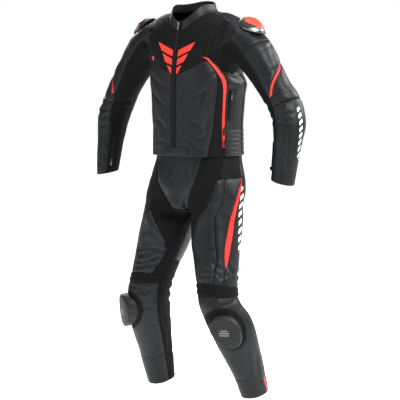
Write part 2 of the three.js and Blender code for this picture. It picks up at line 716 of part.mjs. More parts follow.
for (const side of SIDES) {
  const sleeve = (row, column) => armSurface(1, row, column);
  const rings = CUP_RINGS.map((ring) => ring.at);
  const cup = forSide(roundPatch(CUP, CUP.reach, rings, SPOKES, sleeve, cupOutline), side);
  for (const point of cup.points) {
    point.low = CUP.low;
    point.high = CUP_RINGS[point.ring].high;
  }
  layOn(`shoulder_cup_${side.tag}`, "plastic", cup.points, cup.cells);

  const platePoints = cup.points.filter((point) => point.ring < PLATE_RINGS);
  const plateCells = cup.cells.filter((cell) => cell.every((i) => i < platePoints.length));
  const onCup = platePoints.map((point) => ({
    ...point,
    low: point.high + PLATE.gap,
    high: point.high + PLATE.gap + PLATE.thick * (point.ring === PLATE_RINGS - 1 ? PLATE.edge : 1),
  }));
  layOn(`shoulder_plate_${side.tag}`, "red", onCup, plateCells);

  const legSide = { tag: side.tag, sign: 1 };
  const knee = (row, column) => legSurface(legSide, row, column);
  const centre = PUCK_CENTRES[side.tag];
  const puck = forSide(roundPatch(centre, PUCK.reach, PUCK_RINGS, SPOKES, knee, puckOutline), side);
  const crown = puck.points[0];
  for (const point of puck.points) {
    const drop = crown.at.clone().sub(point.at).dot(crown.normal);
    const edge = point.ring === PUCK_RINGS.length - 1 ? PUCK.edge : 0;
    point.low = PUCK.low;
    point.up = crown.normal;
    point.high = PUCK.low + PUCK.thick + PUCK.bow * drop - edge;
  }
  layOn(`knee_slider_${side.tag}`, "slider", puck.points, puck.cells);
}

// Zips: a tape with its teeth, a slider and a pull tab. The tab hangs in the slider's channel from its
// pin.
const TAPE = { low: REST_GAP, thick: 1.2, ridge: 0.8 };
const SLIDER = { width: 9, wall: 1.1, base: 2.4, channel: 3.2, length: 11 };
const TAB = { width: 6, thick: 1.8, length: 25, above: 1.2, lift: 0.8, down: 3, curve: 5 };

const SLIDER_LIFT = TAPE.low + TAPE.thick + TAPE.ridge + SEAM_GAP;
const SLIDER_SUNK = 1.2; // the small zips have their slider in one piece with the teeth

const mirroredStations = (stations) =>
  stations.map(({ at, left, right, normal }) => ({
    at: mirrored(at, -1),
    left: mirrored(right, -1),
    right: mirrored(left, -1),
    normal: mirrored(normal, -1),
  }));

// A frame on a zip whose stations run upwards: across it, out of the cloth, and down along it.
function zipFrame(stations, index, share) {
  const from = stations[index];
  const to = stations[index + 1];
  const at = from.at.clone().lerp(to.at, share);
  const out = from.normal.clone().lerp(to.normal, share).normalize();
  const across = out.clone().cross(from.at.clone().sub(to.at)).normalize();
  return { at, out, across, along: across.clone().cross(out).normalize() };
}

function placed(geometry, frame, lift) {
  const matrix = new THREE.Matrix4().makeBasis(frame.across, frame.out, frame.along);
  const at = frame.at.clone().addScaledVector(frame.out, lift);
  return geometry.applyMatrix4(matrix.setPosition(at));
}

// The slider's section is a channel, open outwards, drawn along the zip.
function sliderBody(frame, lift) {
  const w = SLIDER.width / 2;
  const inside = w - SLIDER.wall;
  const height = SLIDER.base + SLIDER.channel;
  const section = new THREE.Shape([
    new THREE.Vector2(-w, 0),
    new THREE.Vector2(w, 0),
    new THREE.Vector2(w, height),
    new THREE.Vector2(inside, height),
    new THREE.Vector2(inside, SLIDER.base),
    new THREE.Vector2(-inside, SLIDER.base),
    new THREE.Vector2(-inside, height),
    new THREE.Vector2(-w, height),
  ]);
  const body = new THREE.ExtrudeGeometry(section, { depth: SLIDER.length, bevelEnabled: false });
  body.translate(0, 0, -SLIDER.length / 2);
  return placed(body, frame, lift);
}

// The tab's pin is at the upper end of the channel; zips run downwards, so the tab hangs along them.
function addTab(name, frame, lift) {
  const w = TAB.width / 2;
  const end = TAB.length - w;
  const outline = new THREE.Shape();
  outline.moveTo(-w, -TAB.above);
  outline.lineTo(w, -TAB.above);
  outline.lineTo(w, end);
  outline.absarc(0, end, w, 0, Math.PI, false);
  const tab = new THREE.ExtrudeGeometry(outline, {
    depth: TAB.thick,
    bevelEnabled: false,
    curveSegments: TAB.curve,
  });
  tab.rotateX(Math.PI / 2);
  tab.translate(0, TAB.thick, 0);
  const start = TAB.down - SLIDER.length / 2;
  tab.translate(0, 0, start);
  addSolid(name, "metal", placed(tab, frame, lift + SLIDER.base + TAB.lift));
}

function layZip(name, stations, zip, tag) {
  const tape = strip(stations, { ...TAPE, half: zip.half });
  const frame = zipFrame(stations, zip.sliderIndex, zip.sliderShare);
  if (tag) {
    const body = sliderBody(frame, SLIDER_LIFT - SLIDER_SUNK);
    addSolid(`${name}_zip_${tag}`, "zip", fused(tape, body));
    addTab(`${name}_pull_${tag}`, frame, SLIDER_LIFT - SLIDER_SUNK);
  } else {
    addSolid(`${name}_zip`, "zip", tape);
    addSolid(`${name}_slider`, "metal", sliderBody(frame, SLIDER_LIFT));
    addTab(`${name}_pull`, frame, SLIDER_LIFT);
  }
}

const onFront = (sign, k, c) =>
  torsoSurface(sign, k, columnPlace(TORSO_SEAMS, TORSO_SEAM_COLUMNS, TORSO_COLUMNS, 2, k, c), true);
const onSleeve = (k, c) =>
  armSurface(1, k, columnPlace(ARM_SEAMS, ARM_SEAM_COLUMNS, ARM_COLUMNS, ARM_COLUMNS, k, c));
const rowsFrom = (first, last, step) => {
  const rows = [];
  for (let k = first; step > 0 ? k <= last : k >= last; k += step) rows.push(k);
  return rows;
};

const FRONT_ZIP = { bottom: 1, top: 20, half: 11, sliderIndex: 18, sliderShare: 0.4 };
const frontStations = rowsFrom(FRONT_ZIP.bottom, FRONT_ZIP.top, 1).map((k) =>
  station(
    onFront(1, k, 0),
    onFront(-1, k, 1),
    onFront(1, k, 1),
    onFront(1, Math.min(k + 1, FRONT_ZIP.top), 0),
    onFront(1, k - 1, 0),
  ),
);
layZip("front", frontStations, FRONT_ZIP, "");

const POCKET_ZIP = { bottom: 4, top: 7, column: 7, share: 0.45, half: 8, sliderIndex: 2, sliderShare: 0.7 };
const pocketStations = rowsFrom(POCKET_ZIP.bottom, POCKET_ZIP.top, 1).map((k) => {
  const across = (row) => [onFront(1, row, POCKET_ZIP.column), onFront(1, row, POCKET_ZIP.column + 1)];
  const middle = (row) => {
    const [near, far] = across(row);
    return near.lerp(far, POCKET_ZIP.share);
  };
  const [before, after] = across(k);
  return station(middle(k), before, after, middle(k + 1), middle(k - 1));
});

const WRIST_ZIP = { bottom: 16, top: 13, column: 2, half: 7, sliderIndex: 0, sliderShare: 0.25 };
const wristStations = rowsFrom(WRIST_ZIP.bottom, WRIST_ZIP.top, -1).map((k) =>
  station(
    onSleeve(k, WRIST_ZIP.column),
    onSleeve(k, WRIST_ZIP.column - 1),
    onSleeve(k, WRIST_ZIP.column + 1),
    onSleeve(k - 1, WRIST_ZIP.column),
    onSleeve(k + 1, WRIST_ZIP.column),
  ),
);

for (const side of SIDES) {
  const pocket = side.sign > 0 ? pocketStations : mirroredStations(pocketStations);
  const wrist = side.sign > 0 ? wristStations : mirroredStations(wristStations);
  layZip("pocket", pocket, POCKET_ZIP, side.tag);
  layZip("wrist", wrist, WRIST_ZIP, side.tag);
}

// Waist tab: the leather end of the front zip, across the hem.
const TAB_ROWS = [0.08, 0.5, 0.94];
const TAB_PLACES = [
  { sign: -1, column: 0, share: 0.75 },
  { sign: 1, column: 0, share: 0 },
  { sign: 1, column: 1, share: 0 },
  { sign: 1, column: 1, share: 0.8 },
];
const BAND_STEP = 0.2; // share of a column to either side, for finding the way along the band
const hemPoint = (sign, column, share, rise) => {
  const low = onFront(sign, 0, column).lerp(onFront(sign, 0, column + 1), share);
  return low.lerp(onFront(sign, 1, column).lerp(onFront(sign, 1, column + 1), share), rise);
};
const tabPoints = [];
for (const rise of TAB_ROWS) {
  TAB_PLACES.forEach(({ sign, column, share }) => {
    const at = hemPoint(sign, column, share, rise);
    const outer = hemPoint(1, column, share + BAND_STEP, rise);
    const inner = hemPoint(1, column, Math.max(share - BAND_STEP, 0), rise);
    const over = outer.sub(inner);
    const normal = over.cross(vec(0, 0, 1)).normalize();
    if (sign < 0) normal.x *= -1;
    if (column === 0 && share === 0) normal.set(0, -1, 0);
    tabPoints.push({ at, normal, low: REST_GAP + 0.4, high: REST_GAP + 2.2 });
  });
}
const tabCells = [];
for (let row = 0; row + 1 < TAB_ROWS.length; row += 1) {
  for (let i = 0; i + 1 < TAB_PLACES.length; i += 1) {
    const corner = row * TAB_PLACES.length + i;
    tabCells.push([corner, corner + 1, corner + 1 + TAB_PLACES.length, corner + TAB_PLACES.length]);
  }
}
layOn("waist_tab", "leather", tabPoints, tabCells);

export default suit;
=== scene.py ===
"""Two-piece leather race suit, worn shape with nobody in it.

The cloth pieces of the CAD model are rounded, folded and sewn here, and every part gets its finish.
"""

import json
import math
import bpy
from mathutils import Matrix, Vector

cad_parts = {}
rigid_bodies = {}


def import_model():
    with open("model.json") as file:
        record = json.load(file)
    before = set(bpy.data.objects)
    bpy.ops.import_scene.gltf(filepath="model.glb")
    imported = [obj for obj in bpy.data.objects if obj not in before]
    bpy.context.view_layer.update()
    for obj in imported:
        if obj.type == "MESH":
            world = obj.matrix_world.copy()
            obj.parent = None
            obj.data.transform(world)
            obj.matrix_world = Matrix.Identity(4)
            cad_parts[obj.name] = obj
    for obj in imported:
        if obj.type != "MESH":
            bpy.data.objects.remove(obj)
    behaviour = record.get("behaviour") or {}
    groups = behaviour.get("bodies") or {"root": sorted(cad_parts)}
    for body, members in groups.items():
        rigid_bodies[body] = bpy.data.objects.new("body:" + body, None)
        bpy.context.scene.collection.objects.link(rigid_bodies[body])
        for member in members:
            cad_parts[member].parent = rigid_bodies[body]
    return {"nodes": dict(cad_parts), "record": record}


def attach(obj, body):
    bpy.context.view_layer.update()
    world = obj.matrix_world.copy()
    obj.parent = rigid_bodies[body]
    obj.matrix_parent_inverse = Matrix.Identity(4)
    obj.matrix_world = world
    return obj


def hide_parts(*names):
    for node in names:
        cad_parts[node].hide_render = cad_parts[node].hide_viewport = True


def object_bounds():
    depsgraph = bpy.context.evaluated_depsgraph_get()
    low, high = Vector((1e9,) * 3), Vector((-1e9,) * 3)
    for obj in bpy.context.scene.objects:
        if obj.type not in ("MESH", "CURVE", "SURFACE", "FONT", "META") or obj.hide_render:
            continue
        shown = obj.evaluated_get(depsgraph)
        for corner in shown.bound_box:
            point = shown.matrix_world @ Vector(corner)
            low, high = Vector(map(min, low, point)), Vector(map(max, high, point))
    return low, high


bl_info = {
    "name": "Leather Race Suit",
    "version": (1, 0, 0),
    "blender": (4, 5, 0),
    "location": "View3D > Sidebar > Race Suit",
    "description": "Cloth shells, stitching, zips, armour and finishes of a two-piece leather race suit",
    "category": "Object",
}

from functools import partialmethod

import bmesh
import bpy
import numpy as np
from mathutils import Vector, noise
from mathutils.bvhtree import BVHTree
from mathutils.kdtree import KDTree

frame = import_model()
cad_low, cad_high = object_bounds()

MM = 0.001
BODY = "suit"
SIDES = ("R", "L")


def both(*names, sides=SIDES):
    return [f"{name}_{side}" for name in names for side in sides]


# Cloth pieces in the order of their sewing: the jacket, then the trousers.
JACKET = both(
    "front", "side_front", "side", "chest_stripe", "yoke_front", "shoulder",
    "sleeve_inner", "sleeve_outer", "sleeve_stripe", "forearm",
) + ["collar", "back", "back_yoke"]
TROUSERS = both(
    "front_stretch", "thigh_side", "thigh_front", "thigh_wedge", "thigh_stripe",
    "calf", "knee_band", "knee",
) + ["fly", "seat"]

# For each kind of piece: its material slot, and the width and length of its cut in metres.
CUTS = {
    "front": ("black_leather", 0.19, 0.35),
    "side_front": ("stretch_cloth", 0.05, 0.35),
    "side": ("black_leather", 0.12, 0.48),
    "chest_stripe": ("red_leather", 0.03, 0.34),
    "yoke_front": ("yoke_leather", 0.16, 0.27),
    "shoulder": ("black_leather", 0.22, 0.26),
    "sleeve_inner": ("stretch_cloth", 0.18, 0.59),
    "sleeve_outer": ("black_leather", 0.26, 0.34),
    "sleeve_stripe": ("red_leather", 0.0155, 0.145),
    "forearm": ("black_leather", 0.26, 0.31),
    "collar": ("black_leather", 0.05, 0.48),
    "back": ("black_leather", 0.46, 0.47),
    "back_yoke": ("black_leather", 0.13, 0.34),
    "front_stretch": ("stretch_cloth", 0.19, 0.44),
    "thigh_side": ("black_leather", 0.15, 0.52),
    "thigh_front": ("black_leather", 0.12, 0.38),
    "thigh_wedge": ("black_leather", 0.06, 0.4),
    "thigh_stripe": ("red_leather", 0.035, 0.34),
    "calf": ("stretch_cloth", 0.2, 0.53),
    "knee_band": ("stretch_cloth", 0.06, 0.27),
    "knee": ("black_leather", 0.29, 0.43),
    "fly": ("black_leather", 0.22, 0.25),
    "seat": ("black_leather", 0.34, 0.5),
}
# Kinds of pieces that are gathered; all others are stretched over the body.
GATHERED = ("knee_band",)
# The kinds that have a row of stitches beside their seams: all but the stretch cloth.
TOPSTITCHED = {kind for kind, cut in CUTS.items() if cut[0] != "stretch_cloth"}
# The parts that a fold can be on, each with its pieces.
PARTS = {
    "torso": JACKET[:12] + ["collar", "back", "back_yoke", "fly", "seat"]
    + both("front_stretch", "thigh_side", "thigh_front", "thigh_wedge"),
}
for SIDE in SIDES:
    PARTS[f"arm_{SIDE}"] = both(
        "shoulder", "sleeve_inner", "sleeve_outer", "sleeve_stripe", "forearm", sides=(SIDE,)
    )
    PARTS[f"leg_{SIDE}"] = [n for n in TROUSERS if n.endswith(f"_{SIDE}")] + ["seat"]
HARD_ON_CLOTH = ["front_zip", "waist_tab"] + both(
    "pocket_zip", "wrist_zip", "shoulder_cup", "shoulder_plate", "knee_slider"
)


def kind_of(node):
    return node[:-2] if node[-2:] in ("_R", "_L") else node


# Folds and grooves, in millimetres. Each group: the part that is folded, the direction that its folds
# face (degrees round from the front) and the folds, each with its two ends as across and height seen
# from there, its bow, width and depth.
FOLDS = (
    # grooves embossed in the lower front
    ("torso", 38.5, (
        (-169, -195, -101, -250, -4, 4.6, 1.8), (-158, -264, -94, -322, -4, 4.6, 1.8),
        (-50, -253, 72, -192, 7, 4.6, 2.1), (-54, -322, 36, -250, 7, 4.6, 2.1),
        (-54, -253, -54, -318, 0, 4.6, 1.6), (-111, -426, -36, -423, 0, 4.6, 1.6),
        (-36, -423, -7, -459, 4, 4.6, 1.6), (-7, -463, 54, -463, 0, 4.6, 1.4),
        # soft folds of the lower front
        (22, -242, 7, -311, 4, 7, 2.2), (47, -329, 32, -408, -4, 9, 1.6), (-25, -358, 22, -398, 4, 9, 1.8),
        (-147, -351, -111, -405, 4, 8, 1.5), (-140, -434, -94, -452, 4, 7, 1.6),
        (-4, -426, 43, -405, -4, 7, 1.4), (-25, -159, 32, -112, 4, 8, 1.6),
        (-140, -148, -97, -177, -4, 8, 1.4), (50, -76, 104, -58, 4, 6, 1.8), (54, -120, 86, -91, 4, 6, 1.6),
        (119, -148, 158, -185, -4, 6, 2), (101, -177, 140, -203, -4, 6, 1.6),
        (115, -271, 108, -329, 4, 6, 1.4), (140, -228, 158, -282, 4, 6, 1.6),
        (-90, -473, 14, -477, 0, 5, 1.2),
    )),
    # far arm
    ("arm_R", 38.5, (
        (-271, -121, -302, -204, 7, 9, 2), (-358, -367, -302, -352, 7, 6, 3.4),
        (-366, -397, -298, -397, 7, 6, 3.6), (-354, -337, -305, -333, 4, 5, 2.6),
        (-351, -432, -305, -413, 4, 6, 2.6), (-328, -310, -290, -295, 4, 6, 2.4),
        (-358, -477, -324, -515, -4, 8, 2.2), (-343, -443, -309, -492, -4, 7, 2),
        (-366, -522, -343, -549, -4, 7, 1.8), (-317, -265, -283, -250, 4, 6, 1.8),
    )),
    # near arm
    ("arm_L", 38.5, (
        (206, -116, 259, -91, -4, 4.6, 1.8), (259, -91, 276, -155, -4, 4.6, 1.8),
        (276, -158, 230, -187, -4, 4.6, 1.8), (230, -187, 206, -116, -4, 4.6, 1.8),
        (230, -176, 283, -162, -4, 5, 1.8), (216, -204, 259, -194, 4, 7, 1.8),
        (266, -272, 315, -251, 7, 6, 2.4), (269, -300, 337, -286, 7, 6, 2.8),
        (276, -332, 344, -329, 4, 6, 2.6), (273, -361, 322, -375, 4, 7, 2),
        (298, -276, 291, -318, 4, 6, 1.8), (315, -382, 308, -539, 4, 8, 1.8),
        (287, -407, 283, -525, 4, 7, 1.4), (340, -389, 330, -496, -4, 7, 1.4),
    )),
    # trousers
    ("torso", 38.5, (
        (-97, -517, -111, -574, 4, 8, 1.2), (-47, -520, -25, -582, -4, 9, 1.4),
    )),
    ("leg_R", 38.5, (
        (-220, -883, -132, -850, -7, 6, 3.2), (-228, -905, -114, -887, 7, 6, 3.6),
        (-217, -858, -147, -835, -4, 6, 2.4), (-184, -828, -99, -850, 7, 7, 2.2),
        (-231, -924, -143, -924, 4, 5, 2.8), (-242, -968, -169, -983, -4, 5, 2.6),
        (-235, -994, -173, -998, 4, 6, 2), (-217, -1057, -147, -1053, 7, 6, 2.2),
        (-173, -751, -121, -806, -4, 9, 2), (-154, -1060, -121, -1094, -4, 4.9, 2.1),
        (-121, -1094, -107, -1152, -4, 4.9, 2.1), (-107, -1152, -103, -1315, 0, 4.9, 1.8),
        (-187, -1252, -154, -1252, 4, 4.9, 2.3), (-154, -1252, -107, -1226, 4, 4.9, 2.3),
        (-165, -1094, -147, -1211, 4, 9, 1.4),
    )),
    ("leg_L", 38.5, (
        (14, -887, 97, -919, 7, 6, 3.6), (7, -908, 72, -923, 7, 6, 3.6), (50, -843, 93, -890, -7, 7, 3),
        (-18, -786, 18, -869, -4, 9, 2.2), (72, -923, 115, -905, 4, 6, 2.8),
        (104, -869, 126, -912, 4, 6, 2.2), (25, -811, 61, -825, 4, 8, 1.8),
        (140, -880, 147, -926, 4, 6, 1.6), (36, -1006, 86, -980, 4, 6, 2), (61, -1013, 140, -991, -7, 5, 2),
        (154, -1024, 187, -1085, -4, 5, 2), (183, -1178, 194, -1269, 0, 4.6, 2.3),
        (194, -1269, 179, -1290, -4, 4.6, 2.3), (179, -1290, 144, -1290, 0, 4.6, 2.3),
        (122, -1193, 154, -1265, 4, 9, 1.4), (208, -1186, 222, -1294, 0, 7, 1.2),
    )),
    # the other front of the lower jacket, seen from the wearer's right front
    ("torso", -38.5, (
        (50, -253, -72, -192, -7, 4.4, 1.4), (60, -330, -30, -262, -7, 4.4, 1.4),
        (-40, -300, -28, -380, 4, 9, 1.8), (-110, -330, -96, -400, 4, 9, 1.6),
        (-80, -60, -30, -40, 4, 7, 1.6),
    )),
    # back of the jacket
    ("torso", 180, (
        (-120, -230, -20, -260, -9, 14, 2.6), (130, -215, 30, -255, 8, 14, 2.4),
        (-130, -300, -40, -320, -8, 12, 2.2), (125, -310, 50, -330, 7, 12, 2.4),
        (-110, -365, 10, -385, -9, 11, 2.4), (115, -380, 0, -400, 8, 11, 2.2),
        (-60, -120, -25, -230, 6, 16, 2), (70, -110, 30, -225, -6, 16, 2),
    )),
    ("torso", 140, (
        (-60, -150, 30, -190, -8, 10, 2.4),
    )),
    ("torso", -140, (
        (60, -160, -30, -195, 8, 10, 2.4),
    )),
    ("torso", 110, (
        (-40, -200, 30, -260, -5, 9, 1.8),
    )),
    ("torso", -110, (
        (40, -195, -30, -250, 5, 9, 1.8),
    )),
    # seat and backs of the thighs
    ("torso", 180, (
        (-110, -640, -20, -690, -10, 12, 3), (115, -650, 25, -700, 10, 12, 3),
        (-90, -590, -15, -620, -6, 11, 1.8), (95, -585, 15, -615, 6, 11, 1.8),
    )),
    ("leg_R", 180, (
        (70, -760, 150, -740, 6, 10, 2.4),
    )),
    ("leg_L", 180, (
        (-70, -765, -150, -742, -6, 10, 2.4),
    )),
    # backs of the knees
    ("leg_R", 190, (
        (90, -960, 190, -940, 6, 8, 4), (90, -985, 195, -990, -6, 7, 3.6),
        (95, -1020, 190, -1035, -5, 8, 3), (100, -915, 180, -890, 5, 9, 2.4),
    )),
    ("leg_L", 170, (
        (-90, -965, -190, -945, -6, 8, 4), (-90, -990, -195, -995, 6, 7, 3.6),
        (-95, -1026, -190, -1040, 5, 8, 3), (-100, -918, -180, -895, -5, 9, 2.4),
    )),
    # calves
    ("leg_R", 180, (
        (130, -1080, 200, -1150, 5, 11, 1.8), (150, -1230, 215, -1260, 5, 11, 2.2),
    )),
    ("leg_L", 180, (
        (-130, -1085, -200, -1155, -5, 11, 1.8), (-150, -1236, -215, -1266, -5, 11, 2.2),
    )),
    # outsides of the thighs and knees
    ("leg_R", -90, (
        (-40, -900, 50, -920, 6, 8, 2.8), (-35, -935, 45, -925, -5, 7, 2.4),
    )),
    ("leg_L", 90, (
        (35, -905, -45, -925, -6, 8, 2.8), (40, -940, -40, -930, 5, 7, 2.4),
    )),
    # hidden sides of the sleeves
    ("arm_R", 200, (
        (285, -250, 355, -290, 6, 9, 3), (300, -300, 375, -315, 5, 8, 3.2),
        (310, -340, 390, -345, -5, 8, 2.8), (330, -400, 400, -440, 5, 9, 2),
        (250, -150, 310, -200, 5, 10, 2.2),
    )),
    ("arm_R", -90, (
        (-40, -290, 40, -320, 6, 8, 2.8), (-40, -340, 40, -345, -6, 8, 2.8),
    )),
    ("arm_L", 160, (
        (-285, -255, -355, -295, -6, 9, 3), (-300, -306, -375, -320, -5, 8, 3.2),
        (-310, -345, -390, -350, 5, 8, 2.8), (-330, -404, -400, -446, -5, 9, 2),
        (-250, -155, -310, -205, -5, 10, 2.2),
    )),
    ("arm_L", 0, (
        (300, -300, 380, -320, 5, 7, 2), (310, -345, 390, -350, -5, 7, 2),
    )),
    ("arm_R", 0, (
        (-300, -300, -380, -318, -5, 7, 2),
    )),
)


# sizes and colours


def length_property(name, description, default, low=0.0, high=10.0):
    """A length, given in millimetres and kept in metres."""
    return bpy.props.FloatProperty(
        name=name, description=description, default=default * MM, min=low * MM, max=high * MM, unit="LENGTH"
    )


class SuitSizes(bpy.types.PropertyGroup):
    cloth_thickness: length_property(
        "Cloth thickness", "Thickness of the leather and stretch cloth", 1.6, 0.5, 3
    )
    seam_depth: length_property("Seam depth", "How far a seam lies under the cloth beside it", 1.3, 0, 4)
    stitch_step: length_property("Stitch spacing", "Distance from one stitch to the next", 3.6, 2)
    stitch_offset: length_property("Stitch distance", "Distance of a row of stitches from its seam", 3.0, 1)
    tooth_step: length_property("Zip tooth spacing", "Distance from one zip tooth to the next", 2.2, 1)
    rounding: bpy.props.IntProperty(
        name="Rounding", description="Times that each cell of the cloth is halved", default=3, min=1, max=4
    )
    fold_strength: bpy.props.FloatProperty(
        name="Fold strength", description="Share of the folds' full depth", default=1.4, min=0, max=3,
        subtype="FACTOR",
    )


def colour_property(name, value):
    return bpy.props.FloatVectorProperty(
        name=name, description=f"{name} of the suit", subtype="COLOR", size=3, default=value, min=0, max=1
    )


class SuitColours(bpy.types.PropertyGroup):
    leather: colour_property("Leather", (0.0062, 0.0069, 0.0084))
    yoke: colour_property("Perforated leather", (0.0032, 0.0033, 0.0037))
    stretch: colour_property("Stretch cloth", (0.0028, 0.0028, 0.0030))
    accent: colour_property("Accent leather", (0.82, 0.04, 0.028))
    thread: colour_property("Thread", (0.028, 0.029, 0.031))
    print_white: colour_property("White print", (0.82, 0.82, 0.82))
    metal: colour_property("Zip metal", (0.18, 0.18, 0.185))
    armour: colour_property("Cup plastic", (0.008, 0.008, 0.009))
    floor: colour_property("Floor", (0.93, 0.93, 0.93))


def sizes():
    return bpy.context.scene.suit_sizes


def colours():
    return bpy.context.scene.suit_colours


# finishes


class Value:
    """A socket in a material, so that its maths is written as an expression."""

    def __init__(self, finish, socket):
        self.finish = finish
        self.socket = socket

    def math(self, operation, *others):
        return self.finish.node("ShaderNodeMath", {"operation": operation}, self, *others)

    __add__ = __radd__ = partialmethod(math, "ADD")
    __sub__ = partialmethod(math, "SUBTRACT")
    __mul__ = __rmul__ = partialmethod(math, "MULTIPLY")
    __truediv__ = partialmethod(math, "DIVIDE")
    __pow__ = partialmethod(math, "POWER")
    __lt__ = partialmethod(math, "LESS_THAN")
    __gt__ = partialmethod(math, "GREATER_THAN")
    size = partialmethod(math, "ABSOLUTE")
    fraction = partialmethod(math, "FRACT")

    def __rsub__(self, other):
        return self.finish.node("ShaderNodeMath", {"operation": "SUBTRACT"}, other, self)

    def ramp(self, low, high):
        """0 below low, 1 above high, and a soft rise between them."""
        settings = {"interpolation_type": "SMOOTHSTEP"}
        return self.finish.node("ShaderNodeMapRange", settings, self, low, high, 0.0, 1.0)


class Finish:
    """A material: its shader, and methods that add nodes."""

    def __init__(self, name, colour, roughness, specular=0.5, **constants):
        self.material = bpy.data.materials.new(name)
        self.material.use_nodes = True
        self.tree = self.material.node_tree
        self.shader = self.tree.nodes["Principled BSDF"]
        constants.update(Base_Color=(*colour, 1), Roughness=roughness, Specular_IOR_Level=specular)
        for socket, value in constants.items():
            self.shader.inputs[socket.replace("_", " ")].default_value = value
        self.place = self.node("ShaderNodeTexCoord", {}, output="Object")

    def plug(self, value, socket):
        if isinstance(value, Value):
            self.tree.links.new(value.socket, socket)
        elif value is not None:
            socket.default_value = value

    def node(self, kind, settings, *values, output=0, **named):
        node = self.tree.nodes.new(kind)
        for key, value in settings.items():
            setattr(node, key, value)
        for socket, value in zip(node.inputs, values):
            self.plug(value, socket)
        for key, value in named.items():
            self.plug(value, node.inputs[key.replace("_", " ")])
        return Value(self, node.outputs[output])

    def noise(self, scale, detail=2.0, vector=None, rough=0.5):
        return self.node(
            "ShaderNodeTexNoise", {}, Vector=vector or self.place,
            Scale=scale, Detail=detail, Roughness=rough,
        )

    def cells(self, scale):
        return self.node("ShaderNodeTexVoronoi", {"feature": "SMOOTH_F1"}, Vector=self.place, Scale=scale)

    def stretched(self, x, y, z):
        return self.node("ShaderNodeMapping", {}, self.place, Scale=(x, y, z))

    def attribute(self, name, output="Fac"):
        return self.node("ShaderNodeAttribute", {"attribute_name": name}, output=output)

    def axes(self, vector=None):
        node = self.tree.nodes.new("ShaderNodeSeparateXYZ")
        self.plug(vector or self.place, node.inputs[0])
        return [Value(self, output) for output in node.outputs]

    def mix(self, share, first, second):
        node = self.tree.nodes.new("ShaderNodeMix")
        node.data_type = "RGBA"
        self.plug(share, node.inputs["Factor"])
        for value, socket in ((first, node.inputs[6]), (second, node.inputs[7])):
            self.plug((*value, 1) if isinstance(value, (tuple, list)) else value, socket)
        return Value(self, node.outputs[2])

    def finished(self, colour, roughness, *heights):
        """Sets the look and the bumps on top of each other, each as (height, distance in mm, strength)."""
        self.plug(colour, self.shader.inputs["Base Color"])
        self.plug(roughness, self.shader.inputs["Roughness"])
        normal = None
        for height, distance, strength in heights:
            normal = self.node(
                "ShaderNodeBump", {}, Strength=strength, Distance=distance * MM,
                Height=height, Normal=normal,
            )
        self.plug(normal, self.shader.inputs["Normal"])
        return self.material


def shade(colour, by):
    return tuple(min(1.0, c * by) for c in colour)


# Three chevrons across the chest: the top one's height, half its width, the fall from its points to its
# middle, the step to the next one, the share of it that is red, how fast they narrow, and the zip's gap.
CHEVRONS = {
    "top": -0.080, "half": 0.084, "drop": 0.070, "pitch": 0.031, "share": 0.72, "count": 3.0,
    "taper": 0.60, "gap": 0.0035,
}
# Slanted bars of a printed band, and how much of each step is white.
BARS = {"count": 8.0, "slant": 0.5, "share": 0.55}
# Holes of the leather: their pitch in mm, their edge as the square of a share of it, and the border beside
# a seam that has none, in mm.
HOLES = {"pitch": 4.4, "edge": (0.02, 0.05), "border": (9, 12)}
HOLE_BLACK = (0.002, 0.002, 0.002)
FLEECE_BLACK = (0.0016, 0.0016, 0.0017)
# The blacker leather beside the neck: the way across that it is measured on, its edge, and its lower edge.
DARK_FRONT = {
    "across": (0.783, 0.622), "edge": (0.122, 0.118), "down": (0.75, 0.66), "under": (0.074, 0.070),
}


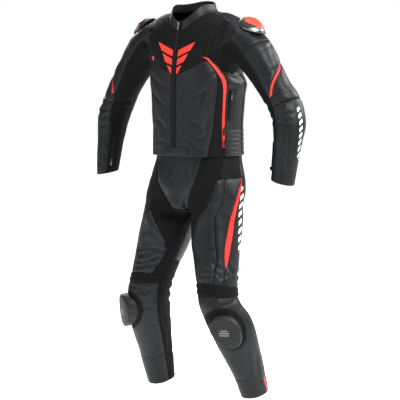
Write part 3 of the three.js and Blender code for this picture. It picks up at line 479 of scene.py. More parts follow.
def leather(name, colour, roughness=0.40, specular=0.2, perforated=False, printed=None, chevrons=False,
            fleece=False, shaded=False):
    """Cowhide: fine pebbled grain, soft wrinkles, paler and smoother where it is worn beside its seams and
    where it is stretched over the ridges of its folds, whose paler tone is a painted highlight; the hollows
    of the folds have painted shade.
    """
    finish = Finish(name, colour, roughness, specular)
    grain = finish.cells(620)
    pores = finish.noise(1400, 2)
    wrinkles = finish.noise(95, 4, finish.stretched(1, 1, 2.2))
    patches = finish.noise(14, 3)
    fold = finish.attribute("fold")
    seam = finish.attribute("seam")
    # Paler beside the seams, where the leather is worn, and on the ridges of the folds, where the paler
    # tone is a painted highlight and not wear.
    worn = (1 - seam.ramp(0.5, 6.0)) * 0.5 + fold.ramp(0.3, 1.8) * 0.6
    worn = worn * patches.ramp(0.35, 0.65)
    tone = finish.mix(patches.ramp(0.3, 0.7), shade(colour, 0.82), shade(colour, 1.18))
    tone = finish.mix(grain.ramp(0.0, 0.5) * 0.25, tone, shade(colour, 0.55))
    tone = finish.mix(worn * 0.45, tone, shade(colour, 1.9))
    # Painted shade: the leather is darkened in the hollows of the folds.
    tone = finish.mix((0 - fold).ramp(0.7, 2.4) * 0.6, tone, shade(colour, 0.3))
    gloss = roughness + grain * 0.10 - worn * 0.08 + patches * 0.08
    heights = [(grain, 0.25, 0.35), (pores, 0.1, 0.25), (wrinkles, 1.1, 0.32)]
    if perforated:
        across, along, _ = finish.axes(finish.attribute("cloth_uv", "Vector"))
        row = along / HOLES["pitch"]
        column = across / HOLES["pitch"] + row.math("FLOOR") * 0.5
        dot = (column.fraction() - 0.5) ** 2 + (row.fraction() - 0.5) ** 2
        hole = (1 - dot.ramp(*HOLES["edge"])) * seam.ramp(*HOLES["border"])
        tone = finish.mix(hole * 0.9, tone, HOLE_BLACK)
        heights.append((1 - hole, 0.8, 0.6))
    if shaded:
        tone = finish.mix(dark_front(finish), tone, tuple(colours().yoke))
    if printed:
        mask = PRINT_MASKS[printed](finish)
        ink = colours().print_white if printed == "bars" else colours().accent
        tone = finish.mix(mask, tone, tuple(ink))
        heights.append((mask, 0.3, 0.5))
    if fleece:
        mask = 1 - finish.attribute("fleece").ramp(-0.6, 0.6)
        tone = finish.mix(mask, tone, FLEECE_BLACK)
        gloss = gloss + mask * 0.4
        heights += [(mask * finish.noise(700, 4), 0.9, 0.8), (mask, 0.8, 0.5)]
    if chevrons:
        mask = chevron_mask(finish)
        tone = finish.mix(mask, tone, tuple(colours().accent))
        heights.append((mask, 0.5, 0.6))
    return finish.finished(tone, gloss, *heights)


def flash(finish):
    """A plain printed band: its own coordinates run 0 to 1 along and across."""
    along, across, _ = finish.axes(finish.attribute("print_uv", "Vector"))
    return (along > 0.0) * (along < 1.0) * (across > 0.0) * (across < 1.0)


def bars(finish):
    """Slanted bars along a printed band."""
    along, across, _ = finish.axes(finish.attribute("print_uv", "Vector"))
    slanted = along * BARS["count"] + across * BARS["slant"]
    return ((slanted.fraction() - 0.5).size() < BARS["share"] / 2) * flash(finish)


PRINT_MASKS = {"bars": bars, "flash": flash}


def dark_front(finish):
    """The blacker leather between the neck and the shoulder panel's front edge."""
    x, y, z = finish.axes()
    across = x.size() * DARK_FRONT["across"][0] + y * DARK_FRONT["across"][1]
    lower = across * DARK_FRONT["down"][0] + z * DARK_FRONT["down"][1]
    return across.ramp(*DARK_FRONT["edge"]).math("MAXIMUM", lower.ramp(*DARK_FRONT["under"]))


def chevron_mask(finish):
    """Three red chevrons, one under another, across the closed zip."""
    x, _, z = finish.axes()
    fall = (CHEVRONS["top"] - z) - (0.5 - x.size() / (2 * CHEVRONS["half"])) * CHEVRONS["drop"]
    step = fall / CHEVRONS["pitch"]
    band = (step.fraction() < CHEVRONS["share"]) * (step > 0.0) * (step < CHEVRONS["count"])
    taper = CHEVRONS["half"] - (CHEVRONS["top"] - z) * CHEVRONS["taper"]
    return band * (x.size() < taper) * (x.size() > CHEVRONS["gap"])


def stretch_cloth(name, colour):
    """Woven stretch cloth: a fine twill with a little sheen."""
    finish = Finish(name, colour, 0.78, 0.08, Sheen_Weight=0.01, Sheen_Roughness=0.5)
    x, y, z = finish.axes()
    warp = ((x + y) * 2400).math("SINE")
    weft = ((z + x * 0.5) * 2800).math("SINE")
    weave = warp * weft * 0.5 + 0.5
    patches = finish.noise(18, 3)
    wrinkles = finish.noise(60, 3, finish.stretched(1, 1, 2.5))
    tone = finish.mix(patches, shade(colour, 0.75), shade(colour, 1.3))
    tone = finish.mix(weave * 0.35, tone, shade(colour, 2.0))
    return finish.finished(tone, 0.72 + weave * 0.12, (weave, 0.25, 0.35), (wrinkles, 1.0, 0.2))


# A knee slider's two raised rings, each with its distance from the middle, foot and edge; and its bars: how
# far the lowest is under the middle, their step, half a bar's share of it, their count and reach.
SLIDER_RINGS = ((0.0387, 0.0030, 0.0012), (0.0486, 0.0026, 0.001))
SLIDER_BARS = {"low": 0.016, "pitch": 0.0085, "share": 0.3, "count": 3.0, "reach": 0.0295}
SLIDER_TONE = (0.0065, 0.0068, 0.0070)
SLIDER_GREY = (0.13, 0.13, 0.135)
INSERT_SILVER = (0.16, 0.16, 0.16)


def plastic(name, colour, roughness, scuffed=0.3, middle=None):
    """Moulded plastic with fine speckle and scuffs; round a middle, the rings and bars of a knee slider."""
    finish = Finish(name, colour, roughness, 0.24)
    speckle = finish.noise(900, 2)
    scuffs = finish.noise(60, 5, finish.stretched(1, 1, 0.25), 0.7)
    worn = scuffs.ramp(0.56, 0.72) * scuffed
    tone = finish.mix(worn, colour, shade(colour, 2.4))
    heights = [(speckle, 0.12, 0.3), (scuffs, 0.15, 0.2)]
    if middle is not None:
        _, _, z = finish.axes()
        settings = {"operation": "DISTANCE"}
        away = finish.node("ShaderNodeVectorMath", settings, finish.place, middle, output="Value")
        inner, outer = ((away - ring).size().ramp(foot, edge) for ring, foot, edge in SLIDER_RINGS)
        heights.append((inner.math("MAXIMUM", outer), 2.2, 0.9))
        rise = (z - middle[2] + SLIDER_BARS["low"]) / SLIDER_BARS["pitch"]
        marks = ((rise.fraction() - 0.5).size() < SLIDER_BARS["share"]) * (away < SLIDER_BARS["reach"])
        marks = marks * (rise > 0.0) * (rise < SLIDER_BARS["count"])
        tone = finish.mix(marks, tone, SLIDER_GREY)
        heights.append((marks, 0.4, 0.6))
    return finish.finished(tone, roughness + worn * 0.25 + speckle * 0.06, *heights)


def metal(name, colour):
    """Die-cast metal, darker and brighter where it is worn."""
    finish = Finish(name, colour, 0.3, Metallic=1.0)
    wear = finish.noise(300, 4)
    tone = finish.mix(wear.ramp(0.45, 0.65), shade(colour, 0.6), shade(colour, 1.25))
    return finish.finished(tone, 0.24 + wear * 0.22, (wear, 0.08, 0.3))


def tape(name, colour):
    """Woven tape or thread."""
    finish = Finish(name, colour, 0.8, 0.12)
    _, _, z = finish.axes()
    weave = (z * 5200).math("SINE") * 0.5 + 0.5
    threads = finish.noise(1600, 2)
    tone = finish.mix(weave * 0.5, shade(colour, 0.7), shade(colour, 1.6))
    return finish.finished(tone, 0.74 + threads * 0.12, (weave, 0.2, 0.5), (threads, 0.1, 0.3))


def cup_plastic(name, colour):
    """Black moulded plastic with a silver insert under the red plate, told apart by its own coordinate."""
    finish = Finish(name, colour, 0.42, 0.3)
    insert = finish.attribute("insert").ramp(0.35, 0.65)
    speckle = finish.noise(900, 2)
    scuffs = finish.noise(70, 5)
    finish.plug(insert, finish.shader.inputs["Metallic"])
    tone = finish.mix(scuffs.ramp(0.55, 0.7) * 0.3, colour, shade(colour, 2.2))
    tone = finish.mix(insert, tone, INSERT_SILVER)
    gloss = 0.42 - insert * 0.04 + speckle * 0.06
    return finish.finished(tone, gloss, (speckle, 0.12, 0.3), (insert, 0.8, 0.6))


def cad_mesh(node):
    return frame["nodes"][node].data


def bounds_of(node):
    points = read(cad_mesh(node).vertices)
    return points.min(axis=0), points.max(axis=0)


def middle_of(node):
    low, high = bounds_of(node)
    return tuple(float(c) for c in (low + high) / 2)


# The suit's materials by name, once they are made.
FINISHES = {}


def finishes():
    """The suit's materials, made once, when they are first asked for."""
    if FINISHES:
        return FINISHES
    c = colours()
    black = tuple(c.leather)
    FINISHES.update(
        black_leather=leather("black_leather_grain", black),
        printed_leather=leather("black_leather_printed", black, printed="bars"),
        yoke_leather=leather(
            "yoke_leather_perforated", tuple(c.yoke), 0.55, 0.1, perforated=True, chevrons=True
        ),
        dotted_leather=leather("shoulder_leather_perforated", black, perforated=True, shaded=True),
        knee_leather=leather("knee_leather_grain", black, printed="flash", fleece=True),
        red_leather=leather("red_leather_grain", tuple(c.accent), 0.42),
        stretch_cloth=stretch_cloth("stretch_cloth_twill", tuple(c.stretch)),
        inside=stretch_cloth("inside_mesh_cloth", (0.008, 0.008, 0.009)),
        thread=tape("sewing_thread", tuple(c.thread)),
        zip_tape=tape("zip_tape_woven", (0.004, 0.004, 0.0045)),
        zip_teeth=plastic("zip_teeth_moulded", (0.006, 0.006, 0.007), 0.45),
        zip_metal=metal("zip_metal_worn", tuple(c.metal)),
        cup_plastic=cup_plastic("cup_plastic_moulded", tuple(c.armour)),
        red_plastic=plastic("red_plastic_moulded", (0.9, 0.05, 0.018), 0.42, 0.1),
    )
    for name in both("slider_plastic"):
        knee = name.replace("slider_plastic", "knee_slider")
        FINISHES[name] = plastic(name, SLIDER_TONE, 0.5, 0.6, middle=middle_of(knee))
    return FINISHES


# cloth


def face_groups(mesh):
    """The faces of a mesh in memory, as lists that hang together."""
    left = set(mesh.faces)
    groups = []
    while left:
        group = [left.pop()]
        for face in group:
            for edge in face.edges:
                for other in edge.link_faces:
                    if other in left:
                        left.remove(other)
                        group.append(other)
        groups.append(group)
    return groups


# Thickness of a wall from its outer face to its inner one: most are plain, and gathers make some thicker.
WALL = 2 * MM
RIBBED_WALLS = {"side": 4 * MM, "back": 4 * MM, "knee_band": 4.5 * MM}
# Points nearer than this are one: within a solid, and across a seam.
WELD = 0.002 * MM
SEAM_GAP = 0.6 * MM
# A look from one wall to the rest of the garment starts this far off it and ends after this way.
LOOK_START, LOOK_WAY = 3 * MM, 0.6
# How far off a seam's edge a neighbour's point may be to belong on it, and the least share of the edge
# before it.
MET_REACH, MET_END = 5 * MM, 0.06


def placed(name, data):
    """An object in the scene for a mesh, a light or a camera."""
    thing = bpy.data.objects.new(name, data)
    bpy.context.scene.collection.objects.link(thing)
    return thing


def kept(shape, name):
    """A mesh in memory as one of the file's meshes."""
    mesh = bpy.data.meshes.new(name)
    shape.to_mesh(mesh)
    shape.free()
    return mesh


def tree_of(meshes):
    """Meshes as one tree, for finding what is near or in the way."""
    joined = bmesh.new()
    for mesh in meshes:
        joined.from_mesh(mesh)
    tree = BVHTree.FromBMesh(joined)
    joined.free()
    return tree


def welded(node):
    """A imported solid's mesh in memory, with its faces joined."""
    solid = bmesh.new()
    solid.from_mesh(cad_mesh(node))
    bmesh.ops.remove_doubles(solid, verts=solid.verts, dist=WELD)
    return solid


def outer_face(node, walls):
    """The outside of a packed cloth wall: the rim goes, and of its two sides the one that looks at less
    of the garment stays, because the inner one looks across the hollow."""
    wall = welded(node)
    lengths = {WALL, RIBBED_WALLS.get(kind_of(node), WALL)}
    rims = {
        face
        for edge in wall.edges
        if any(abs(edge.calc_length() - length) < 2 * WELD for length in lengths)
        for face in edge.link_faces
    }
    bmesh.ops.delete(wall, geom=list(rims), context="FACES")
    wall.normal_update()

    def looks_at_garment(group):
        seen = 0
        for face in group:
            start = face.calc_center_median() + face.normal * LOOK_START
            seen += walls.ray_cast(start, face.normal, LOOK_WAY)[0] is not None
        return seen / len(group)

    keep = set(min((group for group in face_groups(wall) if len(group) > 1), key=looks_at_garment))
    bmesh.ops.delete(wall, geom=[f for f in wall.faces if f not in keep], context="FACES")
    return wall


def split_where_met(net):
    """Where one piece has more points along a seam than its neighbour, the neighbour gets them too."""
    net.edges.ensure_lookup_table()
    rim = [edge for edge in net.edges if edge.is_boundary]
    points = list({vert for edge in rim for vert in edge.verts})
    tree = KDTree(len(points))
    for i, vert in enumerate(points):
        tree.insert(vert.co, i)
    tree.balance()
    for edge in rim:
        start, end = edge.verts
        way = end.co - start.co
        met = []
        for place, i, _ in tree.find_range((start.co + end.co) / 2, way.length / 2 + MET_REACH):
            share = (place - start.co).dot(way) / way.length_squared
            off = (start.co + way * share - place).length
            if MET_END < share < 1 - MET_END and off < MET_REACH:
                met.append((share, place.copy()))
        left = 1.0
        for share, place in sorted(met, key=lambda one: -one[0]):
            _, vert = bmesh.utils.edge_split(edge, start, share / left)
            vert.co = place
            edge = next(e for e in vert.link_edges if start in e.verts)
            left = share


# The waist's gathers are below this height, and these pieces meet there; passes that even out their seams.
GATHER_TOP = -0.36
GATHER_PASSES = 8
GATHER_SEAMS = {"side", "chest_stripe", "side_front"}


def flatten_gathers(net, nodes):
    """The waist's gathers die out where they are sewn to a plain neighbour, so that its edge stays even."""

    def at_gathers(vert):
        kinds = {kind_of(nodes[face.material_index]) for face in vert.link_faces}
        return "side" in kinds and len(kinds) > 1 and kinds <= GATHER_SEAMS

    seam = {vert for vert in net.verts if at_gathers(vert)}
    for _ in range(GATHER_PASSES):
        moved = {}
        for vert in seam:
            beside = [v for v in (edge.other_vert(vert) for edge in vert.link_edges) if v in seam]
            if vert.co.z < GATHER_TOP and len(beside) == 2:
                moved[vert] = (vert.co * 2 + beside[0].co + beside[1].co) / 4
        for vert, place in moved.items():
            vert.co = place


def sewn_net(nodes):
    """All outsides of a garment joined along their seams; a face's material index says its piece."""
    net = bmesh.new()
    walls = tree_of(cad_mesh(node) for node in nodes)
    for index, node in enumerate(nodes):
        part = outer_face(node, walls)
        for face in part.faces:
            face.material_index = index
            face.smooth = True
        held = kept(part, "held")
        net.from_mesh(held)
        bpy.data.meshes.remove(held)
    bmesh.ops.remove_doubles(net, verts=net.verts, dist=SEAM_GAP)
    split_where_met(net)
    bmesh.ops.remove_doubles(net, verts=net.verts, dist=SEAM_GAP)
    flatten_gathers(net, nodes)
    bmesh.ops.join_triangles(
        net, faces=net.faces, cmp_materials=True, angle_face_threshold=1.2, angle_shape_threshold=2.0
    )
    return kept(net, "net")


def halved(mesh, levels):
    """A rounded copy of a mesh; its first points are the old ones."""
    holder = placed("holder", mesh)
    rounding = holder.modifiers.new("Rounding", "SUBSURF")
    rounding.levels = rounding.render_levels = levels
    rounding.use_limit_surface = True
    bpy.context.view_layer.update()
    shown = bpy.context.evaluated_depsgraph_get()
    made = bpy.data.meshes.new_from_object(
        holder.evaluated_get(shown), preserve_all_data_layers=True, depsgraph=shown
    )
    bpy.data.objects.remove(holder)
    return made


def read(items, field="co", width=3, kind=np.float32):
    """One field of many points, faces or corners: rows of numbers, or a plain list where the width is 1."""
    data = np.empty(len(items) * width, kind)
    items.foreach_get(field, data)
    return data.reshape(-1, width).astype(float) if width > 1 else data


def write(mesh, points):
    mesh.vertices.foreach_set("co", points.astype(np.float32).ravel())
    mesh.update()


def mark(mesh, name, values):
    """Keeps a number or a vector for each point of a mesh."""
    kind, field = ("FLOAT", "value") if values.ndim == 1 else ("FLOAT_VECTOR", "vector")
    mesh.attributes.new(name, kind, "POINT").data.foreach_set(field, values.astype(np.float32).ravel())


def normals_of(mesh):
    return read(mesh.vertex_normals, "vector")


def rounded(mesh, levels):
    """The mesh rounded so that it still passes through its own points."""
    aim = read(mesh.vertices)
    for _ in range(4):
        trial = halved(mesh, 1)
        miss = aim - read(trial.vertices)[: len(aim)]
        bpy.data.meshes.remove(trial)
        write(mesh, read(mesh.vertices) + miss * 0.9)
    return halved(mesh, levels)


def smooth_rise(values, low, high):
    share = np.clip((values - low) / (high - low), 0, 1)
    return share * share * (3 - 2 * share)


def view_from(facing):
    """The way to the right and the way to the eye, for one who looks at the suit from there."""
    turn = math.radians(facing)
    return np.array([math.cos(turn), math.sin(turn), 0]), np.array([math.sin(turn), -math.cos(turn), 0])


def beside_line(points, facing, x0, z0, x1, z1):
    """Where points lie beside a line on a view, as share of its length and way across; and its length."""
    seen = np.stack([points @ view_from(facing)[0], points[:, 2]], axis=1) - np.array([x0, z0])
    way = np.array([x1 - x0, z1 - z0], float)
    length = np.linalg.norm(way)
    way /= length
    return seen @ way / length, seen @ np.array([-way[1], way[0]]), length


def bell(values):
    return np.exp(-(values**2))


def fold_depths(points, normals, member):
    """How far each point moves for the listed folds, in metres, outwards positive."""
    moved = np.zeros(len(points))
    points = points / MM
    for part, facing, folds in FOLDS:
        facing_it = smooth_rise(normals @ view_from(facing)[1], 0.05, 0.45)
        for x0, z0, x1, z1, bow, width, depth in folds:
            reached, across, length = beside_line(points, facing, x0, z0, x1, z1)
            share = np.clip(reached, 0, 1)
            away = (across - bow * 4 * share * (1 - share)) / width
            ends = bell((reached - share) * length / width)
            shape = -bell(away)
            if width >= WIDEST_GROOVE:
                ends *= smooth_rise(share, 0, FOLD_ENDS) * smooth_rise(1 - share, 0, FOLD_ENDS)
                shape += 0.6 * bell(away - 1.75) + 0.4 * bell((away + 1.9) / 1.2)
            moved += np.where(member[part], shape * ends * facing_it * depth * MM, 0)
    return moved


# A line narrower than this, in mm, is an embossed groove: it has no swell beside it and keeps its ends.
WIDEST_GROOVE = 5.2
FOLD_ENDS = 0.22
DEEPEST_FOLD = 4 * MM
# Cloth swells between its seams, sinks at them, and is uneven: sizes of the large and the small waves, as
# waves per metre, and their shares.
PUFF, PUFF_REACH = 1.1 * MM, 24 * MM
VALLEY_WIDTH = 3.2 * MM
UNEVEN, UNEVEN_REACH = 1.5 * MM, 20 * MM
WAVES = ((16, 0.6), (41, 0.4))
# Hook-and-loop cloth round the knee sliders, in mm: its reach below them, how much more it is above them,
# and how soon the one turns into the other. It is only below the knee's top.
KNEE_TOP = -0.8
FLEECE = {"below": 14, "more_above": 9, "soft": 12}
# How far from a hard part the cloth lies as packed, and from where on it is free to fold.
HELD, FREE = 5 * MM, 24 * MM
NEAR_HARD = 26 * MM


def make_cloth(nodes):
    """Sews, rounds, folds and cuts apart the cloth of one garment; gives back its seams."""
    flat = sewn_net(nodes)
    flat_tree = BVHTree.FromPolygons(
        [v.co.copy() for v in flat.vertices], [list(p.vertices) for p in flat.polygons]
    )
    mesh = rounded(flat, sizes().rounding)
    points, normals = read(mesh.vertices), normals_of(mesh)
    labels = read(mesh.polygons, "material_index", 1, np.int32)
    corner_points = read(mesh.loops, "vertex_index", 1, np.int32)
    corner_labels = np.repeat(labels, read(mesh.polygons, "loop_total", 1, np.int32))
    first, last = np.full(len(points), len(nodes)), np.full(len(points), -1)
    np.minimum.at(first, corner_points, corner_labels)
    np.maximum.at(last, corner_points, corner_labels)
    member = {}
    for part, names in PARTS.items():
        inside = np.array([node in names for node in nodes])
        member[part] = np.zeros(len(points), bool)
        member[part][corner_points[inside[corner_labels]]] = True

    on_seam = np.flatnonzero(first != last)
    seam_tree = KDTree(len(on_seam))
    for i in on_seam:
        seam_tree.insert(points[i], int(i))
    seam_tree.balance()
    seam = np.array([seam_tree.find(place)[2] for place in points])

    hard = tree_of(cad_mesh(node) for node in HARD_ON_CLOTH)
    fleece, held, rest = np.full(len(points), 50.0), np.full(len(points), 1.0), points.copy()
    for i, place in enumerate(points):
        spot, _, _, distance = hard.find_nearest(place, NEAR_HARD)
        if spot is not None:
            held[i] = distance
            rest[i] = flat_tree.find_nearest(place, 20 * MM)[0]
            if place[2] < KNEE_TOP:
                above = smooth_rise((place[2] - spot[2]) / MM, -FLEECE["soft"], FLEECE["soft"])
                fleece[i] = distance / MM - FLEECE["below"] - FLEECE["more_above"] * above
    free = smooth_rise(held, HELD, FREE)
    uneven = np.array(
        [sum(noise.noise(Vector(p) * scale) * share for scale, share in WAVES) for p in points]
    )
    folds = fold_depths(points, normals, member) * sizes().fold_strength
    folds = DEEPEST_FOLD * np.tanh(folds / DEEPEST_FOLD) * (0.4 + 0.6 * smooth_rise(seam, 0, 10 * MM))
    swell = PUFF * smooth_rise(seam, 0, PUFF_REACH) + uneven * UNEVEN * smooth_rise(seam, 0, UNEVEN_REACH)
    valley = -sizes().seam_depth * bell(seam / VALLEY_WIDTH)
    shift = (folds + swell) * free + valley
    write(mesh, rest + (points - rest) * free[:, None] + normals * shift[:, None])
    mark(mesh, "seam", seam / MM)
    mark(mesh, "fold", folds / MM)
    mark(mesh, "fleece", fleece)
    seams = seam_lines(mesh, nodes, labels)
    cut_apart(mesh, nodes, labels)
    return seams


def seam_lines(mesh, nodes, labels):
    """Every edge between two pieces: its ends, the way out and the two pieces."""
    edges = {}
    for polygon in mesh.polygons:
        for key in polygon.edge_keys:
            edges.setdefault(key, []).append(labels[polygon.index])
    points, normals = read(mesh.vertices), normals_of(mesh)
    return [
        (points[a], points[b], normals[a] + normals[b], (nodes[met[0]], nodes[met[1]]))
        for (a, b), met in edges.items()
        if len(met) == 2 and met[0] != met[1]
    ]


def flat_coordinates(mesh):
    """The piece's own across and along in millimetres, from the plane that fits it best."""
    points = read(mesh.vertices) / MM
    centred = points - points.mean(axis=0)
    _, _, ways = np.linalg.svd(centred[:: max(1, len(centred) // 2000)], full_matrices=False)
    mark(mesh, "cloth_uv", np.column_stack([centred @ ways[:2].T, np.zeros(len(points))]))


# Printed bands: the direction that each is seen from, its two ends as across and height, and its width.
PRINTS = {}
for SIDE, SIGN in (("L", 1), ("R", -1)):
    PRINTS[f"thigh_side_{SIDE}"] = (105 * SIGN, -27 * SIGN, -597, -60 * SIGN, -834, 26)
    PRINTS[f"forearm_{SIDE}"] = (85 * SIGN, 32 * SIGN, -306, 28 * SIGN, -490, 15)
    PRINTS[f"knee_{SIDE}"] = (100 * SIGN, 6 * SIGN, -1290, 30 * SIGN, -1348, 9)


def print_coordinates(mesh, band):
    """The piece's own way along a printed band and across it, each 0 to 1 on the band."""
    *line, width = band
    along, across, _ = beside_line(read(mesh.vertices) / MM, *line)
    flat = np.column_stack([along, across / width, np.full(len(along), -1)])
    flat[normals_of(mesh) @ view_from(line[0])[1] < 0] = -1
    mark(mesh, "print_uv", flat)


def cloth_finish(node):
    kind = kind_of(node)
    if kind == "knee":
        return finishes()["knee_leather"]
    if node in PRINTS:
        return finishes()["printed_leather"]
    if kind == "shoulder":
        return finishes()["dotted_leather"]
    return finishes()[CUTS[kind][0]]


def cut_apart(mesh, nodes, labels):
    """One object for each piece of the garment, with its thickness and place."""
    whole = placed("garment", mesh)
    mesh.materials.clear()
    cuts = [bpy.data.materials.new(f"cut_{node}") for node in nodes]
    for cut in cuts:
        mesh.materials.append(cut)
    mesh.polygons.foreach_set("material_index", labels)
    before = set(bpy.data.objects)
    bpy.context.view_layer.objects.active = whole
    whole.select_set(True)
    bpy.ops.object.mode_set(mode="EDIT")
    bpy.ops.mesh.separate(type="MATERIAL")
    bpy.ops.object.mode_set(mode="OBJECT")
    for piece in [whole] + [o for o in bpy.data.objects if o not in before]:
        shell = piece.data
        node = shell.materials[shell.polygons[0].material_index].name.removeprefix("cut_")
        piece.select_set(False)
        piece.name = shell.name = f"{node}_cloth"
        shell.materials.clear()
        shell.materials.append(cloth_finish(node))
        shell.materials.append(finishes()["inside"])
        shell.polygons.foreach_set("material_index", np.zeros(len(shell.polygons), np.int32))
        if kind_of(node) in ("yoke_front", "shoulder"):
            flat_coordinates(shell)
        if node in PRINTS:
            print_coordinates(shell, PRINTS[node])
        wall = piece.modifiers.new("Thickness", "SOLIDIFY")
        wall.thickness = sizes().cloth_thickness
        wall.offset = -1
        wall.material_offset = 1
        slot, width, length = CUTS[kind_of(node)]
        held = "gathered" if kind_of(node) in GATHERED else "stretched"
        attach(piece, BODY)
        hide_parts(node)
    for cut in cuts:
        bpy.data.materials.remove(cut)


# Sewing


def joined_copies(name, template, places, frames):
    """One mesh of many copies of a small shape: each has its place and its three axes."""
    shape = bmesh.new()
    template(shape)
    shape.verts.ensure_lookup_table()
    shape.verts.index_update()
    corners = np.array([v.co[:] for v in shape.verts])
    faces = [[v.index for v in face.verts] for face in shape.faces]
    shape.free()
    places, frames = np.asarray(places), np.asarray(frames)
    placed = np.einsum("ca,nab->ncb", corners, frames) + places[:, None, :]
    count = len(corners)
    rows = [[i * count + k for k in face] for i in range(len(places)) for face in faces]
    mesh = bpy.data.meshes.new(name)
    mesh.from_pydata(placed.reshape(-1, 3).tolist(), [], rows)
    mesh.polygons.foreach_set("use_smooth", np.ones(len(rows), bool))
    mesh.update()
    return mesh


def add_piece(name, mesh, finish, replaces=(), body=BODY):
    piece = placed(name, mesh)
    mesh.materials.clear()
    mesh.materials.append(finishes()[finish])
    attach(piece, body)
    if replaces:
        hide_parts(*replaces)
    return piece


# Half sizes of a stitch and whole sizes of a zip tooth, along, across and upwards, in mm.
STITCH = (1.25, 0.36, 0.36)
TOOTH = (1.2, 3.0, 1.1)
# How far a tooth stands beside the middle and above the tape, and a stitch above the cloth.
TOOTH_ASIDE, TOOTH_RISE, STITCH_RISE = 0.8 * MM, 0.25 * MM, 0.12 * MM
# The shortest seam that is stitched, and how far off its row the cloth may be.
SHORTEST_SEAM, CLOTH_REACH = 20 * MM, 9 * MM
# A zip's middle line: how far its ends lie inside, its points, the reach of each and its weight's width.
ZIP_END, ZIP_POINTS, ZIP_REACH, ZIP_WIDTH = 8 * MM, 24, 16 * MM, 9 * MM


def stitch_shape(shape):
    """A stitch: a round thread that dives into the cloth at both ends."""
    bmesh.ops.create_icosphere(shape, subdivisions=1, radius=1.0)
    bmesh.ops.scale(shape, vec=Vector(STITCH) * MM, verts=shape.verts)


def tooth_shape(shape):
    """A zip tooth: a small block with bevelled upper edges."""
    bmesh.ops.create_cube(shape, size=1.0)
    bmesh.ops.scale(shape, vec=Vector(TOOTH) * MM, verts=shape.verts)
    upper = [e for e in shape.edges if all(v.co.z > 0 for v in e.verts)]
    bmesh.ops.bevel(
        shape, geom=upper, offset=0.3 * MM, segments=1, profile=0.5, affect="EDGES", material=-1
    )


def unit(vector):
    return vector / (np.linalg.norm(vector) or 1)


def lengths_along(points):
    """How far each point of a run is from its start."""
    return np.concatenate([[0], np.cumsum(np.linalg.norm(np.diff(points, axis=0), axis=1))])


def at_stops(stops, along, rows):
    """Rows of three numbers, read off at stops along a run."""
    return np.stack([np.interp(stops, along, rows[:, k]) for k in range(3)], axis=-1)


def axes_on(rise, direction):
    """The ways forward, aside and up of a small thing that lies on a surface."""
    side = unit(np.cross(rise, direction))
    return [np.cross(side, rise), side, rise]


def chains(lines):
    """The seam edges as runs of (point, way out), one run for each stretch between the same two pieces."""
    runs = []
    by_names = {}
    for a, b, normal, names in lines:
        by_names.setdefault(tuple(sorted(names)), []).append((a, b, normal))

    def key(point):
        return tuple(np.round(point / MM, 2))

    for names, members in by_names.items():
        ends = {}
        for index, (a, b, _) in enumerate(members):
            for point in (a, b):
                ends.setdefault(key(point), []).append(index)
        unused = set(range(len(members)))
        while unused:
            starts = [i for i in unused if any(len(ends[key(point)]) == 1 for point in members[i][:2])]
            current = starts[0] if starts else next(iter(unused))
            a, b, normal = members[current]
            if len(ends[key(a)]) != 1 and starts:
                a, b = b, a
            run = [(a, normal)]
            while True:
                unused.discard(current)
                run.append((b, normal))
                following = [i for i in ends[key(b)] if i in unused]
                if not following:
                    break
                current = following[0]
                c, d, normal = members[current]
                b = d if np.allclose(c, b, atol=1e-6) else c
            runs.append((names, run))
    return runs


def sew(name, lines, cloth):
    """Rows of stitches along the seams of a garment, laid on the cloth."""
    places, frames = [], []
    step, offset = sizes().stitch_step, sizes().stitch_offset
    for names, run in chains(lines):
        points = np.array([point for point, _ in run])
        along = lengths_along(points)
        if not TOPSTITCHED & {kind_of(n) for n in names} or len(run) < 3 or along[-1] < SHORTEST_SEAM:
            continue
        stops = np.arange(step, along[-1] - step, step)
        at = at_stops(stops, along, points)
        ahead = at_stops(stops + step / 2, along, points) - at
        up = at_stops(stops, along, np.array([unit(normal) for _, normal in run]))
        for k in range(len(stops)):
            direction, out = unit(ahead[k]), unit(up[k])
            beside = np.cross(out, direction)
            for sign in (1, -1):
                spot = Vector(at[k] + beside * sign * offset + out * 2 * MM)
                place, normal, _, _ = cloth.find_nearest(spot, CLOTH_REACH)
                if place is None:
                    continue
                rise = np.array(normal)
                if rise @ out < 0:
                    rise = -rise
                places.append(np.array(place) + rise * STITCH_RISE)
                frames.append(axes_on(rise, direction))
    add_piece(name, joined_copies(name, stitch_shape, places, frames), "thread")


# Hard parts


def smooth_hard(node, finish, width, body=BODY):
    """A hard part in place of its plain solid, with rounded edges."""
    mesh = kept(welded(node), f"{node}_body")
    mesh.polygons.foreach_set("use_smooth", np.ones(len(mesh.polygons), bool))
    piece = add_piece(f"{node}_body", mesh, finish, replaces=(node,), body=body)
    edges = piece.modifiers.new("Edges", "BEVEL")
    edges.width = width
    edges.segments = 2
    edges.limit_method = "ANGLE"
    edges.angle_limit = math.radians(35)
    return piece


# The silver strip of a cup, from its plate's middle and lower edge: how far back, up and down it reaches.
INSERT_BACK, INSERT_UP, INSERT_DOWN = 8 * MM, 4 * MM, 9 * MM


def mark_insert(mesh, plate):
    """Marks the strip of a cup under its plate, which is silver."""
    low, high = bounds_of(plate)
    _, y, z = read(mesh.vertices).T
    in_front = y < (low + high)[1] / 2 + INSERT_BACK
    mark(mesh, "insert", (z < low[2] + INSERT_UP) & (z > low[2] - INSERT_DOWN) & in_front)


def body_of_node(node):
    return next(body for body, names in frame["record"]["behaviour"]["bodies"].items() if node in names)


def zip_path(node):
    """The middle line of a zip."""
    points = np.unique(np.round(read(cad_mesh(node).vertices), 6), axis=0)
    centred = points - points.mean(axis=0)
    _, _, ways = np.linalg.svd(centred, full_matrices=False)
    order = centred @ ways[0]
    middle = []
    for stop in np.linspace(order.min() + ZIP_END, order.max() - ZIP_END, ZIP_POINTS):
        near = np.abs(order - stop) < ZIP_REACH
        weight = bell((order[near] - stop) / ZIP_WIDTH)
        middle.append((points[near] * weight[:, None]).sum(axis=0) / weight.sum())
    return np.array(middle)


